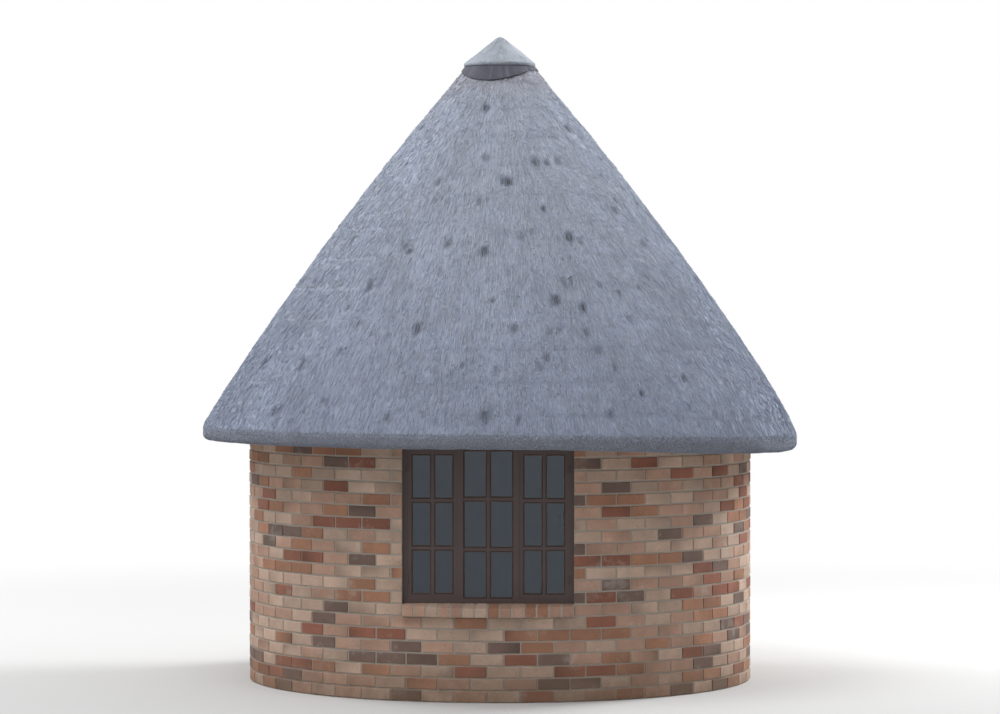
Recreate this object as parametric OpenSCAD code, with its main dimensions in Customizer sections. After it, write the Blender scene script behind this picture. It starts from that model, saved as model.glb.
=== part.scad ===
// Rondavel hut: a round brick room under a conical thatched roof.
// Millimetres, +Z up. The origin is on the ground, on the axis of the hut.
// The window faces -Y. The door, under an eyebrow in the eave, faces +Y.

/* [Wall] */
// Radius of the outer face of the wall
wall_r = 1850; // [1750:10:2050]
// Thickness of the wall
wall_t = 220; // [200:5:260]
// Height of one brick course with its bed joint
course_h = 85; // [80:1:90]
// Courses from the ground to the wall plate
wall_courses = 22; // [20:1:24]
// Height of the floor above the ground
floor_h = 40; // [20:1:60]
// Bearing of a lintel on the wall at each end
lintel_bearing = 100; // [80:5:110]

/* [Window] */
// Width of the window opening
win_w = 1200; // [900:10:1300]
// Courses from the ground to the top of the sill
sill_courses = 8; // [7:1:11]
// How far the sill stands proud of the wall
sill_proud = 40; // [20:1:60]
// Fall of the sill's top from the frame to its nose
sill_fall = 25; // [10:1:35]
// Face width of the window frame
win_frame_w = 35; // [25:1:45]
// Depth of the window frame
win_frame_d = 40; // [32:1:60]
// Face width of a mullion
mullion_w = 40; // [30:1:50]
// Face width of a casement's rails and stiles
sash_w = 28; // [20:1:36]
// Depth of a casement
sash_d = 28; // [20:1:30]
// Thickness of the glass
glass_t = 4; // [3:0.5:6]
// Panes side by side in each light
panes_wide = 2; // [1:1:3]
// Panes one over the other in each light
panes_high = 3; // [2:1:4]
// Face width of a glazing bar
bar_w = 20; // [16:1:24]
// Depth of a glazing bar
bar_d = 22; // [16:1:26]

/* [Door] */
// Width of the door leaf
door_w = 813; // [760:1:860]
// Height of the door leaf
door_h = 2032; // [1980:1:2080]
// Thickness of the door leaf
door_t = 44; // [35:1:50]
// Face width of the door frame outside the leaf
door_frame_w = 41; // [35:1:60]
// Depth of the door frame through the wall
door_frame_d = 110; // [90:1:125]
// How far the frame's stop laps over the leaf
door_stop = 12; // [8:1:18]
// Running gap round the leaf
door_gap = 3; // [2:0.5:5]
// Gap under the leaf
door_foot_gap = 8; // [5:1:12]
// Height of the handle above the floor
handle_h = 1020; // [900:10:1100]
// Distance of the handle's spindle from the edge of the leaf
handle_backset = 60; // [50:1:70]
// Width of the plate behind the handle
handle_plate_w = 40; // [36:1:50]
// Height of the plate behind the handle
handle_plate_h = 150; // [130:5:200]
// Thickness of the plate behind the handle
handle_plate_t = 4; // [2:0.5:6]
// Diameter of the handle's spindle
spindle_d = 18; // [14:1:22]
// Length of the handle's lever
lever_w = 110; // [90:5:130]
// Thickness of the handle's lever
lever_d = 16; // [12:1:18]
// How far the middle of the lever stands out from the leaf
lever_out = 36; // [30:1:50]
// Height of a hinge knuckle
hinge_h = 100; // [75:5:125]
// Diameter of a hinge knuckle
hinge_d = 14; // [10:1:18]

/* [Roof frame] */
// Pitch of the roof in degrees
pitch = 53.6; // [50:0.1:55]
// Width of the wall plate
plate_w = 114; // [90:1:130]
// Height of the wall plate
plate_h = 50; // [38:1:60]
// Number of rafters
rafter_n = 12; // [11:1:13]
// Diameter of a rafter pole
rafter_d = 90; // [80:1:100]
// Plumb depth of a rafter's notch at the wall's outer face
seat_h = 43; // [30:1:50]
// Diameter of a lath
lath_d = 32; // [26:1:38]
// Spacing of the laths up the slope
lath_pitch = 200; // [190:1:210]
// How far the lowest lath lies inside the eave
lath_inset = 200; // [180:5:220]
// Radius of the innermost lath, at least
lath_top_r = 300; // [280:5:400]
// How far the tails of the poles run past the lowest lath
tail_past = 25; // [20:1:40]

/* [Eyebrow over the door] */
// Width of each sloping shoulder of the eyebrow
shoulder_w = 600; // [560:5:660]
// Lath, counted up from the eave, where the eyebrow starts
hinge_lath = 6; // [6:1:7]
// Diameter of an eyebrow pole
brow_pole_d = 90; // [80:1:100]
// Plumb depth of an eyebrow pole's notch over the lintel
brow_seat_h = 27; // [20:1:40]
// Angle of each eyebrow pole from the middle of the door
brow_pole_angle = 9; // [8:0.5:10]

/* [Thatch] */
// How far the eave stands out from the wall
overhang = 350; // [320:5:400]
// Thickness of the thatch, square to the slope, at the eave and the top
thatch_t = 160; // [140:1:190]
// Extra thickness of the thatch halfway up
thatch_belly = 60; // [40:1:90]
// Height of the dressed face of the eave
eave_face = 110; // [100:1:140]
// Radius of the upper edge of the eave
eave_top_r = 120; // [80:5:140]
// Radius of the lower edge of the eave
eave_low_r = 40; // [30:1:45]
// How much lower the eave hangs on its low side
eave_drop = 75; // [0:5:80]
// Direction of the low side, in degrees from +X towards +Y
eave_low_side = -10; // [-20:1:0]
// Angle that the low side takes up each way from its middle
eave_low_spread = 85; // [70:1:85]
// Radius of the hole that is left at the top of the thatch
crown_r = 60; // [40:1:80]
// Height of the thatch's top above the end of its bow
crown_rise = 30; // [20:1:60]

/* [Cap] */
// Radius of the mortar cap
cap_r = 275; // [260:1:300]
// Height of the cap above the thatch
cap_h = 225; // [180:1:260]
// Thickness of the cap at its rim
cap_rim = 26; // [18:1:40]
// Height of the collar under the cap, at its deepest
collar_h = 110; // [80:1:130]
// Height of the collar at its sides
collar_side_h = 25; // [15:1:40]
// Angle that the collar's deepest line is turned from the front
collar_turn = -12; // [-20:1:20]
// Thickness of the collar
collar_t = 10; // [8:1:12]
// Roundness of the cap's tip, as a share of its radius
cap_tip = 0.12; // [0.06:0.02:0.3]

/* [Hidden] */
$fn = 120;

// Clearance between curved or fitted pieces
fit = 0.3;
// Clearance of the faceted thatch and bent laths from what they lie on
lay = 1;
// How far a cutting shape overshoots
over = 1;
big = 6000;

// Wall
door_side = 90;
wall_in = wall_r - wall_t;
wall_h = wall_courses * course_h;
// Angles of the joints between the wall's segments
seg = 60;
win_sill_z = sill_courses * course_h;
win_head_z = wall_h - course_h;

// Window, set straight in the round wall
win_mid_y = -(wall_in + sqrt(wall_r * wall_r - win_w * win_w / 4)) / 2;
light_w = (win_w - 2 * fit - 2 * win_frame_w - 2 * mullion_w) / 3;
light_h = win_head_z - win_sill_z - 2 * fit - 2 * win_frame_w;
light_z = win_sill_z + fit + win_frame_w;

// Door, set straight in the round wall
door_half = door_w / 2 + door_gap + door_frame_w;
leaf_z = floor_h + door_foot_gap;
door_head_z = leaf_z + door_h + door_gap + door_frame_w;
door_frame_y = (wall_in + sqrt(wall_r * wall_r - door_half * door_half)) / 2 - door_frame_d / 2;
lintel_x = door_half + lintel_bearing;
lintel_z = door_head_z + course_h;

// Roof planes: each height is that of a cone at radius r
slope = tan(pitch);
plate_z = wall_h + plate_h;
plate_in = wall_r - plate_w;
rafter_v = rafter_d / cos(pitch);
lath_v = lath_d / cos(pitch);
eave_r = wall_r + overhang;
function roof_z(r) = plate_z - seat_h + rafter_v + fit + (wall_r - r) * slope;
function under_z(r) = roof_z(r) + lath_v + lay;
function rafter_low_z(r) = roof_z(r) - fit - rafter_v;

// Laths, counted from 0 at the eave
lath_step = lath_pitch * cos(pitch);
lath0_r = eave_r - lath_inset;
lath_n = floor((lath0_r - lath_top_r) / lath_step) + 1;
function lath_r(i) = lath0_r - i * lath_step;
function lath_z(r) = roof_z(r) + lath_v / 2;
tail_r = lath0_r + tail_past;

// Eyebrow: its poles pivot under the hinge lath and clear the door's lintel
hinge_r = lath_r(hinge_lath);
brow_need = lintel_z - brow_seat_h + fit - roof_z(wall_r);
function rate_after(n, m) = n == 0 ? m
    : rate_after(n - 1, (brow_need + brow_pole_d * sqrt(1 + pow(slope - m, 2))) / (wall_r - hinge_r));
lift_rate = rate_after(8, 0.5);
brow_pitch = atan(slope - lift_rate);
// The eyebrow's level part is a little wider than the door's frame
brow_past = 10;
brow_flat = 2 * (door_half + brow_past);
brow_half_angle = (brow_flat / 2 + shoulder_w) / eave_r * 180 / PI;
function smooth(t) = let (c = max(0, min(1, t))) c * c * (3 - 2 * c);
function off_door(a) = abs(a - door_side);
// Share of the lift at angle a: 1 over the door, 0 past the shoulders
function lift_share(a) = 1 - smooth((off_door(a) * PI / 180 * eave_r - brow_flat / 2) / shoulder_w);
// Lift over the door at radius r, straight as the poles are, and eased where it starts
function straight_lift(r) = lift_rate * (hinge_r - r < 0 ? r - hinge_r : 0);
function eased_lift(r) = let (d = r - hinge_r)
    d < -lath_step ? 0 : d < lath_step ? lift_rate * pow(d + lath_step, 2) / (4 * lath_step) : lift_rate * d;

// Rafters, spread evenly from one side of the eyebrow to the other
rafter0 = brow_half_angle + 0.6;
rafter_step = (360 - 2 * rafter0) / (rafter_n - 1);
function rafter_angle(i) = door_side + rafter0 + (i - 1) * rafter_step;
function rafter_name(i) = str("rafter_", i < 10 ? "0" : "", i);
hub_r = (rafter_d + 6) / (2 * sin(rafter_step / 2));
hub_lap = 20;
// Height of a pole's level tail above the eave, and the room left over the inner brickwork and the infill
tail_up = 5;
fill_drop = 10;
infill_drop = 20;
infill_lap = 20;

// Wall plate and the raised wall beside the door meet just past the first rafters
plate_past = 40;
plate_end = rafter0 - (rafter_d / 2 + plate_past) / plate_in * 180 / PI;
rake_drop = 40;
rake_low_z = roof_z(wall_r) + straight_lift(wall_r) * lift_share(door_side + plate_end) - rake_drop;

// Thatch: inner cone, outer bow and eave
thatch_v = thatch_t / cos(pitch);
eave_top_z = under_z(eave_r) + thatch_v;
eave_cut_z = eave_top_z - eave_face;
cut_r = eave_r - (eave_cut_z - under_z(eave_r)) / slope;
function outer_z(r) = eave_top_z + (eave_r - r) * slope;
// End of the arc that rounds the eave's upper edge, on the line of the outer slope
bow_r0 = eave_r - eave_top_r * (1 - sin(pitch));
bow_len = (bow_r0 - cap_r) / cos(pitch);
bow_kick = atan(4 * thatch_belly / bow_len);
crown_z = outer_z(cap_r) + crown_rise;
crown_out_r = cap_r - crown_rise / slope;

// Steps round the thatch: fine over the door, coarse elsewhere
brow_steps = 28;
ring_steps = 50;
facet_ease = 1 / cos((180 - rafter0) / ring_steps);
thatch_angles = concat(
    [for (k = [0 : brow_steps - 1]) door_side - rafter0 + k * 2 * rafter0 / brow_steps],
    [for (k = [0 : ring_steps - 1]) door_side + rafter0 + k * (360 - 2 * rafter0) / ring_steps]);

// A ring sector from angle a0 to a1
module ring(r0, r1, z0, z1, a0 = 0, a1 = 360)
    rotate_extrude(angle = a1 - a0, start = a0, $fn = 360)
        translate([r0, z0]) square([r1 - r0, z1 - z0]);

// A box between two corners
module block(low, high)
    translate(low) cube(high - low);

// A box right through the wall on one side: side is 1 at the door, -1 at the window
module through(half_w, z0, z1, side)
    block([-half_w, side > 0 ? 0 : -big, z0], [half_w, side > 0 ? big : 0, z1]);

module brick() color([0.56, 0.33, 0.26]) children();
module mortar() color([0.66, 0.65, 0.68]) children();
module gum_pole() color([0.50, 0.41, 0.31]) children();
module steel() color([0.30, 0.20, 0.16]) children();

module floor_slab()
    mortar() cylinder(r = wall_in - fit, h = floor_h);

module door_threshold()
    mortar() intersection() {
        ring(wall_in, wall_r, 0, floor_h, door_side - 45, door_side + 45);
        through(door_half - fit, -over, floor_h + over, 1);
    }

module plain_wall(a0, a1)
    brick() ring(wall_in, wall_r, 0, wall_h, a0, a1);

// Half of the front wall, from the window's jamb: side is -1 on the left, 1 on the right
module wall_front(side)
    brick() difference() {
        ring(wall_in, wall_r, 0, wall_h, side < 0 ? 270 - seg / 2 : 270, side < 0 ? 270 : 270 + seg / 2);
        through(win_w / 2, -over, big, -1);
        through(win_w / 2 + lintel_bearing, win_head_z, big, -1);
    }

module wall_under_window()
    brick() intersection() {
        ring(wall_in, wall_r, 0, win_sill_z - course_h, 270 - seg / 2, 270 + seg / 2);
        through(win_w / 2, -over, big, -1);
    }

// Half of the back wall, from the door's jamb, with the raised brickwork that follows the eyebrow
module wall_back(side)
    brick() difference() {
        union() {
            ring(wall_in, wall_r, 0, wall_h,
                side < 0 ? door_side : door_side - seg / 2, side < 0 ? door_side + seg / 2 : door_side);
            ring(wall_in, wall_r, wall_h, lintel_z,
                side < 0 ? door_side : door_side - plate_end, side < 0 ? door_side + plate_end : door_side);
        }
        through(door_half, -over, big, 1);
        through(lintel_x, door_head_z, big, 1);
        rake_cut(side);
    }

// What is cut off the raised brickwork: all above a line that falls from the lintel to the plate
module rake_cut(side) {
    low_x = wall_r * sin(plate_end);
    fall = (lintel_z - rake_low_z) / (low_x - lintel_x);
    translate([0, big / 2, 0]) rotate([90, 0, 0]) linear_extrude(big)
        polygon([
            [side * lintel_x, lintel_z], [side * lintel_x, big],
            [side * big, big], [side * big, rake_low_z - (big - low_x) * fall]]);
}

// Infill over the door's lintel, notched round the feet of the eyebrow poles
module wall_over_door() {
    top = roof_z(wall_r) + straight_lift(wall_r) - infill_drop;
    mortar() difference() {
        intersection() {
            ring(plate_in, wall_r, lintel_z, top, door_side - 30, door_side + 30);
            through(door_half - infill_lap, -over, big, 1);
        }
        for (side = [-1, 1]) brow_pole(side, fit);
    }
}

module lintel(z0, half_w, side)
    mortar() intersection() {
        ring(wall_in, wall_r, z0, z0 + course_h, side * 90 - 45, side * 90 + 45);
        through(half_w, -over, big, side);
    }

module window_lintel() lintel(win_head_z, win_w / 2 + lintel_bearing, -1);
module door_lintel() lintel(door_head_z, lintel_x, 1);

// The sill's top falls from the outer face of the window frame to its nose
module window_sill() {
    y_frame = -win_mid_y + win_frame_d / 2;
    y_nose = wall_r + sill_proud;
    brick() intersection() {
        ring(wall_in, y_nose, win_sill_z - course_h, win_sill_z, 270 - seg / 2, 270 + seg / 2);
        through(win_w / 2 - fit, -over, big, -1);
        rotate([90, 0, -90]) translate([0, 0, -win_w / 2]) linear_extrude(win_w)
            polygon([
                [0, 0], [y_nose + over, 0], [y_nose + over, win_sill_z - sill_fall],
                [y_frame, win_sill_z], [0, win_sill_z]]);
    }
}

module beam_fill()
    brick() ring(wall_in, plate_in - fit, wall_h, rafter_low_z(plate_in) - fill_drop,
        door_side + plate_end, door_side + 360 - plate_end);

// A flat frame in the XZ plane, centred on y, with openings that are [low x, low z, width, height]
module flat_frame(low, high, depth, y, openings)
    difference() {
        block([low[0], y - depth / 2, low[1]], [high[0], y + depth / 2, high[1]]);
        for (o = openings)
            block([o[0], y - depth, o[1]], [o[0] + o[2], y + depth, o[1] + o[3]]);
    }

// Lights from left to right: the middle one is fixed, and the outer two are casements
function light_x(i) = -1.5 * light_w - mullion_w + i * (light_w + mullion_w);
// What a light's panes and bars fill, as [low x, low z, width, height]
function glazed(i) = let (edge = i == 1 ? 0 : sash_w)
    [light_x(i) + edge, light_z + edge, light_w - 2 * edge, light_h - 2 * edge];
function pane_w(i) = (glazed(i)[2] - (panes_wide - 1) * bar_w) / panes_wide;
function pane_h(i) = (glazed(i)[3] - (panes_high - 1) * bar_w) / panes_high;

module glazing_bars(i) {
    low = [glazed(i)[0], win_mid_y - bar_d / 2, glazed(i)[1]];
    high = [low[0] + glazed(i)[2], low[1] + bar_d, low[2] + glazed(i)[3]];
    if (panes_wide > 1)
        for (k = [1 : panes_wide - 1]) {
            x = low[0] + k * (pane_w(i) + bar_w);
            block([x - bar_w, low[1], low[2]], [x, high[1], high[2]]);
        }
    for (k = [1 : panes_high - 1]) {
        z = low[2] + k * (pane_h(i) + bar_w);
        block([low[0], low[1], z - bar_w], [high[0], high[1], z]);
    }
}

module window_frame()
    steel() {
        flat_frame(
            [-win_w / 2 + fit, win_sill_z], [win_w / 2 - fit, win_head_z], win_frame_d, win_mid_y,
            [for (i = [0 : 2]) [light_x(i), light_z, light_w, light_h]]);
        glazing_bars(1);
    }

module casement(i)
    steel() {
        flat_frame(
            [light_x(i) + fit, light_z + fit], [light_x(i) + light_w - fit, light_z + light_h - fit],
            sash_d, win_mid_y, [glazed(i)]);
        glazing_bars(i);
    }

module window_glass()
    color([0.25, 0.32, 0.38, 0.5])
        for (i = [0 : 2], j = [0 : panes_wide - 1], k = [0 : panes_high - 1]) {
            x = glazed(i)[0] + j * (pane_w(i) + bar_w);
            z = glazed(i)[1] + k * (pane_h(i) + bar_w);
            block([x + fit, win_mid_y - glass_t / 2, z + fit],
                [x + pane_w(i) - fit, win_mid_y + glass_t / 2, z + pane_h(i) - fit]);
        }

// The leaf closes from the room side against the frame's stop
module door_frame() {
    leaf_half = door_w / 2 + door_gap;
    stop_half = door_w / 2 - door_stop;
    stop_y = door_frame_y + door_t + fit;
    color([0.36, 0.13, 0.10]) difference() {
        block([-door_half + fit, door_frame_y, floor_h], [door_half - fit, door_frame_y + door_frame_d, door_head_z]);
        block([-leaf_half, door_frame_y - over, floor_h - over],
            [leaf_half, stop_y, leaf_z + door_h + door_gap]);
        block([-stop_half, door_frame_y - over, floor_h - over],
            [stop_half, door_frame_y + door_frame_d + over, leaf_z + door_h - door_stop]);
    }
}

module door_leaf()
    color([0.42, 0.15, 0.12])
        block([-door_w / 2, door_frame_y, leaf_z], [door_w / 2, door_frame_y + door_t, leaf_z + door_h]);

// Lever on a back plate, on the outside of the leaf
module door_handle() {
    x = -door_w / 2 + handle_backset;
    y = door_frame_y + door_t;
    z = floor_h + handle_h;
    color([0.70, 0.70, 0.72]) {
        block([x - handle_plate_w / 2, y, z - 0.6 * handle_plate_h],
            [x + handle_plate_w / 2, y + handle_plate_t, z + 0.4 * handle_plate_h]);
        translate([x, y + handle_plate_t, z]) rotate([-90, 0, 0])
            cylinder(d = spindle_d, h = lever_out + lever_d / 2 - handle_plate_t);
        translate([x, y + lever_out, z]) rotate([0, 90, 0]) cylinder(d = lever_d, h = lever_w);
    }
}

// Three knuckles on the room side, over the joint between leaf and frame
module door_hinges()
    steel() for (share = [0.1, 0.5, 0.9])
        translate([
            door_w / 2 + door_gap / 2, door_frame_y - hinge_d / 2 - fit, leaf_z + share * door_h - hinge_h / 2])
            cylinder(d = hinge_d, h = hinge_h);

module wall_plate()
    gum_pole() ring(plate_in, wall_r, wall_h, plate_z, door_side + plate_end, door_side + 360 - plate_end);

// A round pole up the slope at pitch p, whose top line passes z at radius r
module sloping_pole(d, p, r, z)
    translate([r, 0, z - d / 2 / cos(p)]) rotate([0, p - 90, 0])
        translate([0, 0, -(big / 2 - r) / cos(p)]) cylinder(d = d, h = big / 2 / cos(p));

// Rafter: notched over the plate, coped to the hub, tail cut level inside the eave
module rafter(i)
    gum_pole() rotate(rafter_angle(i)) difference() {
        sloping_pole(rafter_d, pitch, wall_r, roof_z(wall_r) - fit);
        block([plate_in, -big, -big], [wall_r + fit, big, plate_z]);
        block([0, -big, -big], [big, big, eave_cut_z + tail_up]);
        block([tail_r, -big, -big], [big, big, big]);
        translate([0, 0, -big]) cylinder(r = hub_r + fit, h = 3 * big);
        block([-big, -big, -big], [0, big, 2 * big]);
    }

module apex_hub()
    gum_pole() translate([0, 0, rafter_low_z(hub_r) - hub_lap])
        cylinder(r = hub_r, h = rafter_v + 2 * hub_lap);

module lath_ring(i, a0 = 0, a1 = 360)
    rotate_extrude(angle = a1 - a0, start = a0)
        translate([lath_r(i), lath_z(lath_r(i))]) circle(d = lath_d, $fn = 32);

module roof_laths()
    gum_pole() for (i = [hinge_lath : lath_n - 1]) lath_ring(i);

module eave_laths()
    gum_pole() for (i = [0 : hinge_lath - 1]) lath_ring(i, door_side + rafter0, door_side + 360 - rafter0);

// Eyebrow pole: pivots under the hinge lath, notched over the door's lintel. grow makes its cutting tool
module brow_pole(side, grow = 0)
    rotate(door_side + side * brow_pole_angle) difference() {
        sloping_pole(brow_pole_d + 2 * grow, brow_pitch, hinge_r, roof_z(hinge_r) - fit + grow / cos(brow_pitch));
        if (grow == 0) block([plate_in, -big, -big], [wall_r + fit, big, lintel_z]);
        block([0, -big, -big], [big, big, eave_cut_z + straight_lift(tail_r) + tail_up]);
        block([tail_r, -big, -big], [big, big, big]);
        block([-big, -big, -big], [hinge_r - lath_step * 0.6, big, 2 * big]);
    }

module eyebrow_poles()
    gum_pole() for (side = [-1, 1]) brow_pole(side);

// A bent round bar through points, as a closed tube of n sides whose rings stand upright and radial
module bent_lath(i, n = 8) {
    r = lath_r(i);
    angles = [for (k = [0 : brow_steps]) door_side - rafter0 + k * 2 * rafter0 / brow_steps];
    points = [for (a = angles, j = [0 : n - 1])
        let (q = 360 * j / n, rr = r + lath_d / 2 * cos(q))
            [rr * cos(a), rr * sin(a), lath_z(r) + straight_lift(r) * lift_share(a) + lath_d / 2 * sin(q)]];
    last = brow_steps * n;
    sides = [for (k = [0 : brow_steps - 1], j = [0 : n - 1])
        let (p = k * n + j, q = k * n + (j + 1) % n) each [[p, p + n, q + n], [p, q + n, q]]];
    polyhedron(points, concat(
        sides, [[for (j = [0 : n - 1]) j]], [[for (j = [n - 1 : -1 : 0]) last + j]]));
}

module eyebrow_laths()
    gum_pole() for (i = [0 : hinge_lath - 1]) bent_lath(i);

// Parts of the thatch's outline: eave, outer bow, crown, and the inner cone down to the eave again
low_arc = [for (k = [0 : 2]) let (q = -90 + 45 * k)
    [eave_r - eave_low_r + eave_low_r * cos(q), eave_cut_z + eave_low_r + eave_low_r * sin(q)]];
arc_z = outer_z(bow_r0) - eave_top_r * cos(pitch);
high_arc = [for (k = [0 : 2]) let (q = (90 - pitch - bow_kick) * k / 3)
    [eave_r - eave_top_r + eave_top_r * cos(q), arc_z + eave_top_r * sin(q)]];
bow_steps = 12;
bow = [for (k = [0 : bow_steps])
    let (s = k / bow_steps, out = 4 * thatch_belly * s * (1 - s), r = bow_r0 + s * (cap_r - bow_r0))
        [r + out * sin(pitch), outer_z(r) + out * cos(pitch)]];
crown = [[crown_out_r, crown_z], [crown_r, crown_z]];
inner_top = [for (k = [0 : 3]) crown_r + k / 4 * (lath_r(hinge_lath + 1) - crown_r)];
inner_brow = [for (k = [2 : -1 : -2]) lath_r(hinge_lath + k / 2)];
inner_low = [for (i = [hinge_lath - 2 : -1 : 0]) lath_r(i)];
outer = concat(low_arc, high_arc, bow, crown);
inner = concat(inner_top, inner_brow, inner_low);

// The eave's low side: its nose hangs down by d, less and less up to eave_ease above it
eave_ease = 400;
function apart(a, b) = abs((a - b + 540) % 360 - 180);
function drop(a) = eave_drop * smooth(1 - apart(a, eave_low_side) / eave_low_spread);
function dropped(p, d) = [p[0], p[1] - d * (1 - smooth((p[1] - eave_cut_z) / eave_ease))];
function outline(d) = concat(
    [for (p = outer) dropped(p, d)],
    [for (r = concat(inner, [cut_r + d / slope])) [r * facet_ease, under_z(r)]]);

// One coat of thatch over the laths, lifted as an eyebrow over the door
module thatch() {
    m = len(outline(0));
    n = len(thatch_angles);
    points = [for (a = thatch_angles, p = outline(drop(a)))
        [p[0] * cos(a), p[0] * sin(a), p[1] + eased_lift(p[0]) * lift_share(a)]];
    faces = [for (k = [0 : n - 1], j = [0 : m - 1])
        let (a = k * m, b = ((k + 1) % n) * m, q = (j + 1) % m)
            each [[a + j, b + q, b + j], [a + j, a + q, b + q]]];
    color([0.44, 0.45, 0.49]) polyhedron(points, faces);
}

// Skirt on the top of the thatch, up to the cap's rim: deepest at front and back, shallow at the sides
module cap_collar() {
    side = collar_t / sin(pitch);
    low_z = crown_z - collar_h;
    face = [[collar_low_r(low_z), low_z], [cap_r, outer_z(cap_r)], [crown_out_r, crown_z]];
    sag = collar_h - collar_side_h;
    lens_r = (cap_r * cap_r + sag * sag) / (2 * sag);
    color([0.16, 0.14, 0.14]) intersection() {
        rotate_extrude() polygon(concat(
            [for (p = face) [p[0] + fit, p[1]]],
            [for (k = [2 : -1 : 0]) [face[k][0] + fit + side, face[k][1]]]));
        rotate(collar_turn) translate([0, 0, low_z + lens_r]) rotate([90, 0, 0])
            cylinder(r = lens_r, h = 4 * cap_r, center = true);
    }
}

// Radius outside the thatch's bow at height z near the top
function collar_low_r(z) = let (p = bow[bow_steps], q = bow[bow_steps - 1])
    p[0] + (p[1] - z) * (q[0] - p[0]) / (p[1] - q[1]);

// Share of the dome's height at a share t of its radius: a cone with a rounded tip
function dome_share(t) =
    1 - (sqrt(t * t + cap_tip * cap_tip) - cap_tip) / (sqrt(1 + cap_tip * cap_tip) - cap_tip);

// Mortar cap: a flat rim under a low cone with a rounded tip
module ridge_cap() {
    base = crown_z + fit;
    dome_steps = 12;
    dome = [for (k = [0 : dome_steps]) let (t = 1 - k / dome_steps)
        [cap_r * t, base + cap_rim + (cap_h - cap_rim) * dome_share(t)]];
    mortar() rotate_extrude() polygon(concat([[0, base], [cap_r, base]], dome));
}

floor_slab();
door_threshold();
wall_front(-1);  // wall_front_left
wall_front(1);  // wall_front_right
plain_wall(270 - 1.5 * seg, 270 - seg / 2);  // wall_left_front
plain_wall(90 + seg / 2, 90 + 1.5 * seg);  // wall_left_back
plain_wall(-90 + seg / 2, -90 + 1.5 * seg);  // wall_right_front
plain_wall(90 - 1.5 * seg, 90 - seg / 2);  // wall_right_back
wall_back(-1);  // wall_back_left
wall_back(1);  // wall_back_right
wall_under_window();
wall_over_door();
window_lintel();
door_lintel();
window_sill();
beam_fill();
window_frame();
casement(0);  // casement_left
casement(2);  // casement_right
window_glass();
door_frame();
door_leaf();
door_handle();
door_hinges();
wall_plate();
apex_hub();
roof_laths();
eave_laths();
eyebrow_poles();
eyebrow_laths();
thatch();
cap_collar();
ridge_cap();
for (i = [1 : rafter_n])
    rafter(i);
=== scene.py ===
"""Looks of a rondavel hut: thatch, brickwork, window, door and roof poles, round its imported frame.

Metres, +Z up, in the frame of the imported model. The window faces -Y and the door +Y.
"""
from __future__ import annotations

import sys
import logging
import math
from dataclasses import dataclass, field, replace
from enum import Enum

import bpy
import numpy as np
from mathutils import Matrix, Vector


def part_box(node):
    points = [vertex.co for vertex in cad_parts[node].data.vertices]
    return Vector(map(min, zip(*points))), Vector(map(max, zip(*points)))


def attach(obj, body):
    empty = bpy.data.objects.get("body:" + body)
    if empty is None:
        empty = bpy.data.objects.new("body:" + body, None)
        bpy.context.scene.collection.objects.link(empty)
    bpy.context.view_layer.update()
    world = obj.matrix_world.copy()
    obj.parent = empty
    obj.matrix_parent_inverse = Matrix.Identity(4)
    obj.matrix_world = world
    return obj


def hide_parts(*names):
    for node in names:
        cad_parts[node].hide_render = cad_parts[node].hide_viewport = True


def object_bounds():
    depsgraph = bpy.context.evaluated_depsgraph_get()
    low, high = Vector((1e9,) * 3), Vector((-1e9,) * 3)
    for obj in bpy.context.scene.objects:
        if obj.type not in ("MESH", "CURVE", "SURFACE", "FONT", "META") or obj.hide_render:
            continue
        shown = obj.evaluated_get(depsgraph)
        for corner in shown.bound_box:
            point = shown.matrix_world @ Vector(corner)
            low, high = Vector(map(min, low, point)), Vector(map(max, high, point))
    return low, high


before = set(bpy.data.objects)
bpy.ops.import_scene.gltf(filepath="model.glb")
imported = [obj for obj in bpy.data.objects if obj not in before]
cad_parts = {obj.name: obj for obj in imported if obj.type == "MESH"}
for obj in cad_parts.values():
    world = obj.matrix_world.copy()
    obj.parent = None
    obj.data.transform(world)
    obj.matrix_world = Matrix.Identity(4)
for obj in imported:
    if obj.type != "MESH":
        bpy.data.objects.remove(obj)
CAD_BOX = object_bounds()

LOG = logging.getLogger("hut")
BODY = "root"
FRONT = math.radians(-90)
DOOR_SIDE = math.radians(90)
FIT = 0.0003
ALONG_GRAIN = 0.06

Colour = tuple[float, float, float]
Point = tuple[float, float, float]
Mesh = tuple[np.ndarray, list[np.ndarray]]
Socket = bpy.types.NodeSocket


def seen(red: int, green: int, blue: int) -> Colour:
    """A colour as it is seen, 0 to 255 a channel, as the linear values that a shader takes.

    Args:
        red: Red, 0 to 255.
        green: Green, 0 to 255.
        blue: Blue, 0 to 255.

    Returns:
        The linear colour.
    """
    shares = (channel / 255 for channel in (red, green, blue))
    return tuple(s / 12.92 if s <= 0.04045 else ((s + 0.055) / 1.055) ** 2.4 for s in shares)


def smooth(share: np.ndarray) -> np.ndarray:
    """Eases 0 to 1, level at both ends, and holds outside them.

    Args:
        share: Any values.

    Returns:
        The eased values.
    """
    held = np.clip(share, 0.0, 1.0)
    return held * held * (3.0 - 2.0 * held)


def high(node: str, axis: int) -> float:
    """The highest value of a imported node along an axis."""
    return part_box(node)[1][axis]


def low(node: str, axis: int) -> float:
    """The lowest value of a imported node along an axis."""
    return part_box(node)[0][axis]


# Meshes


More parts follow.
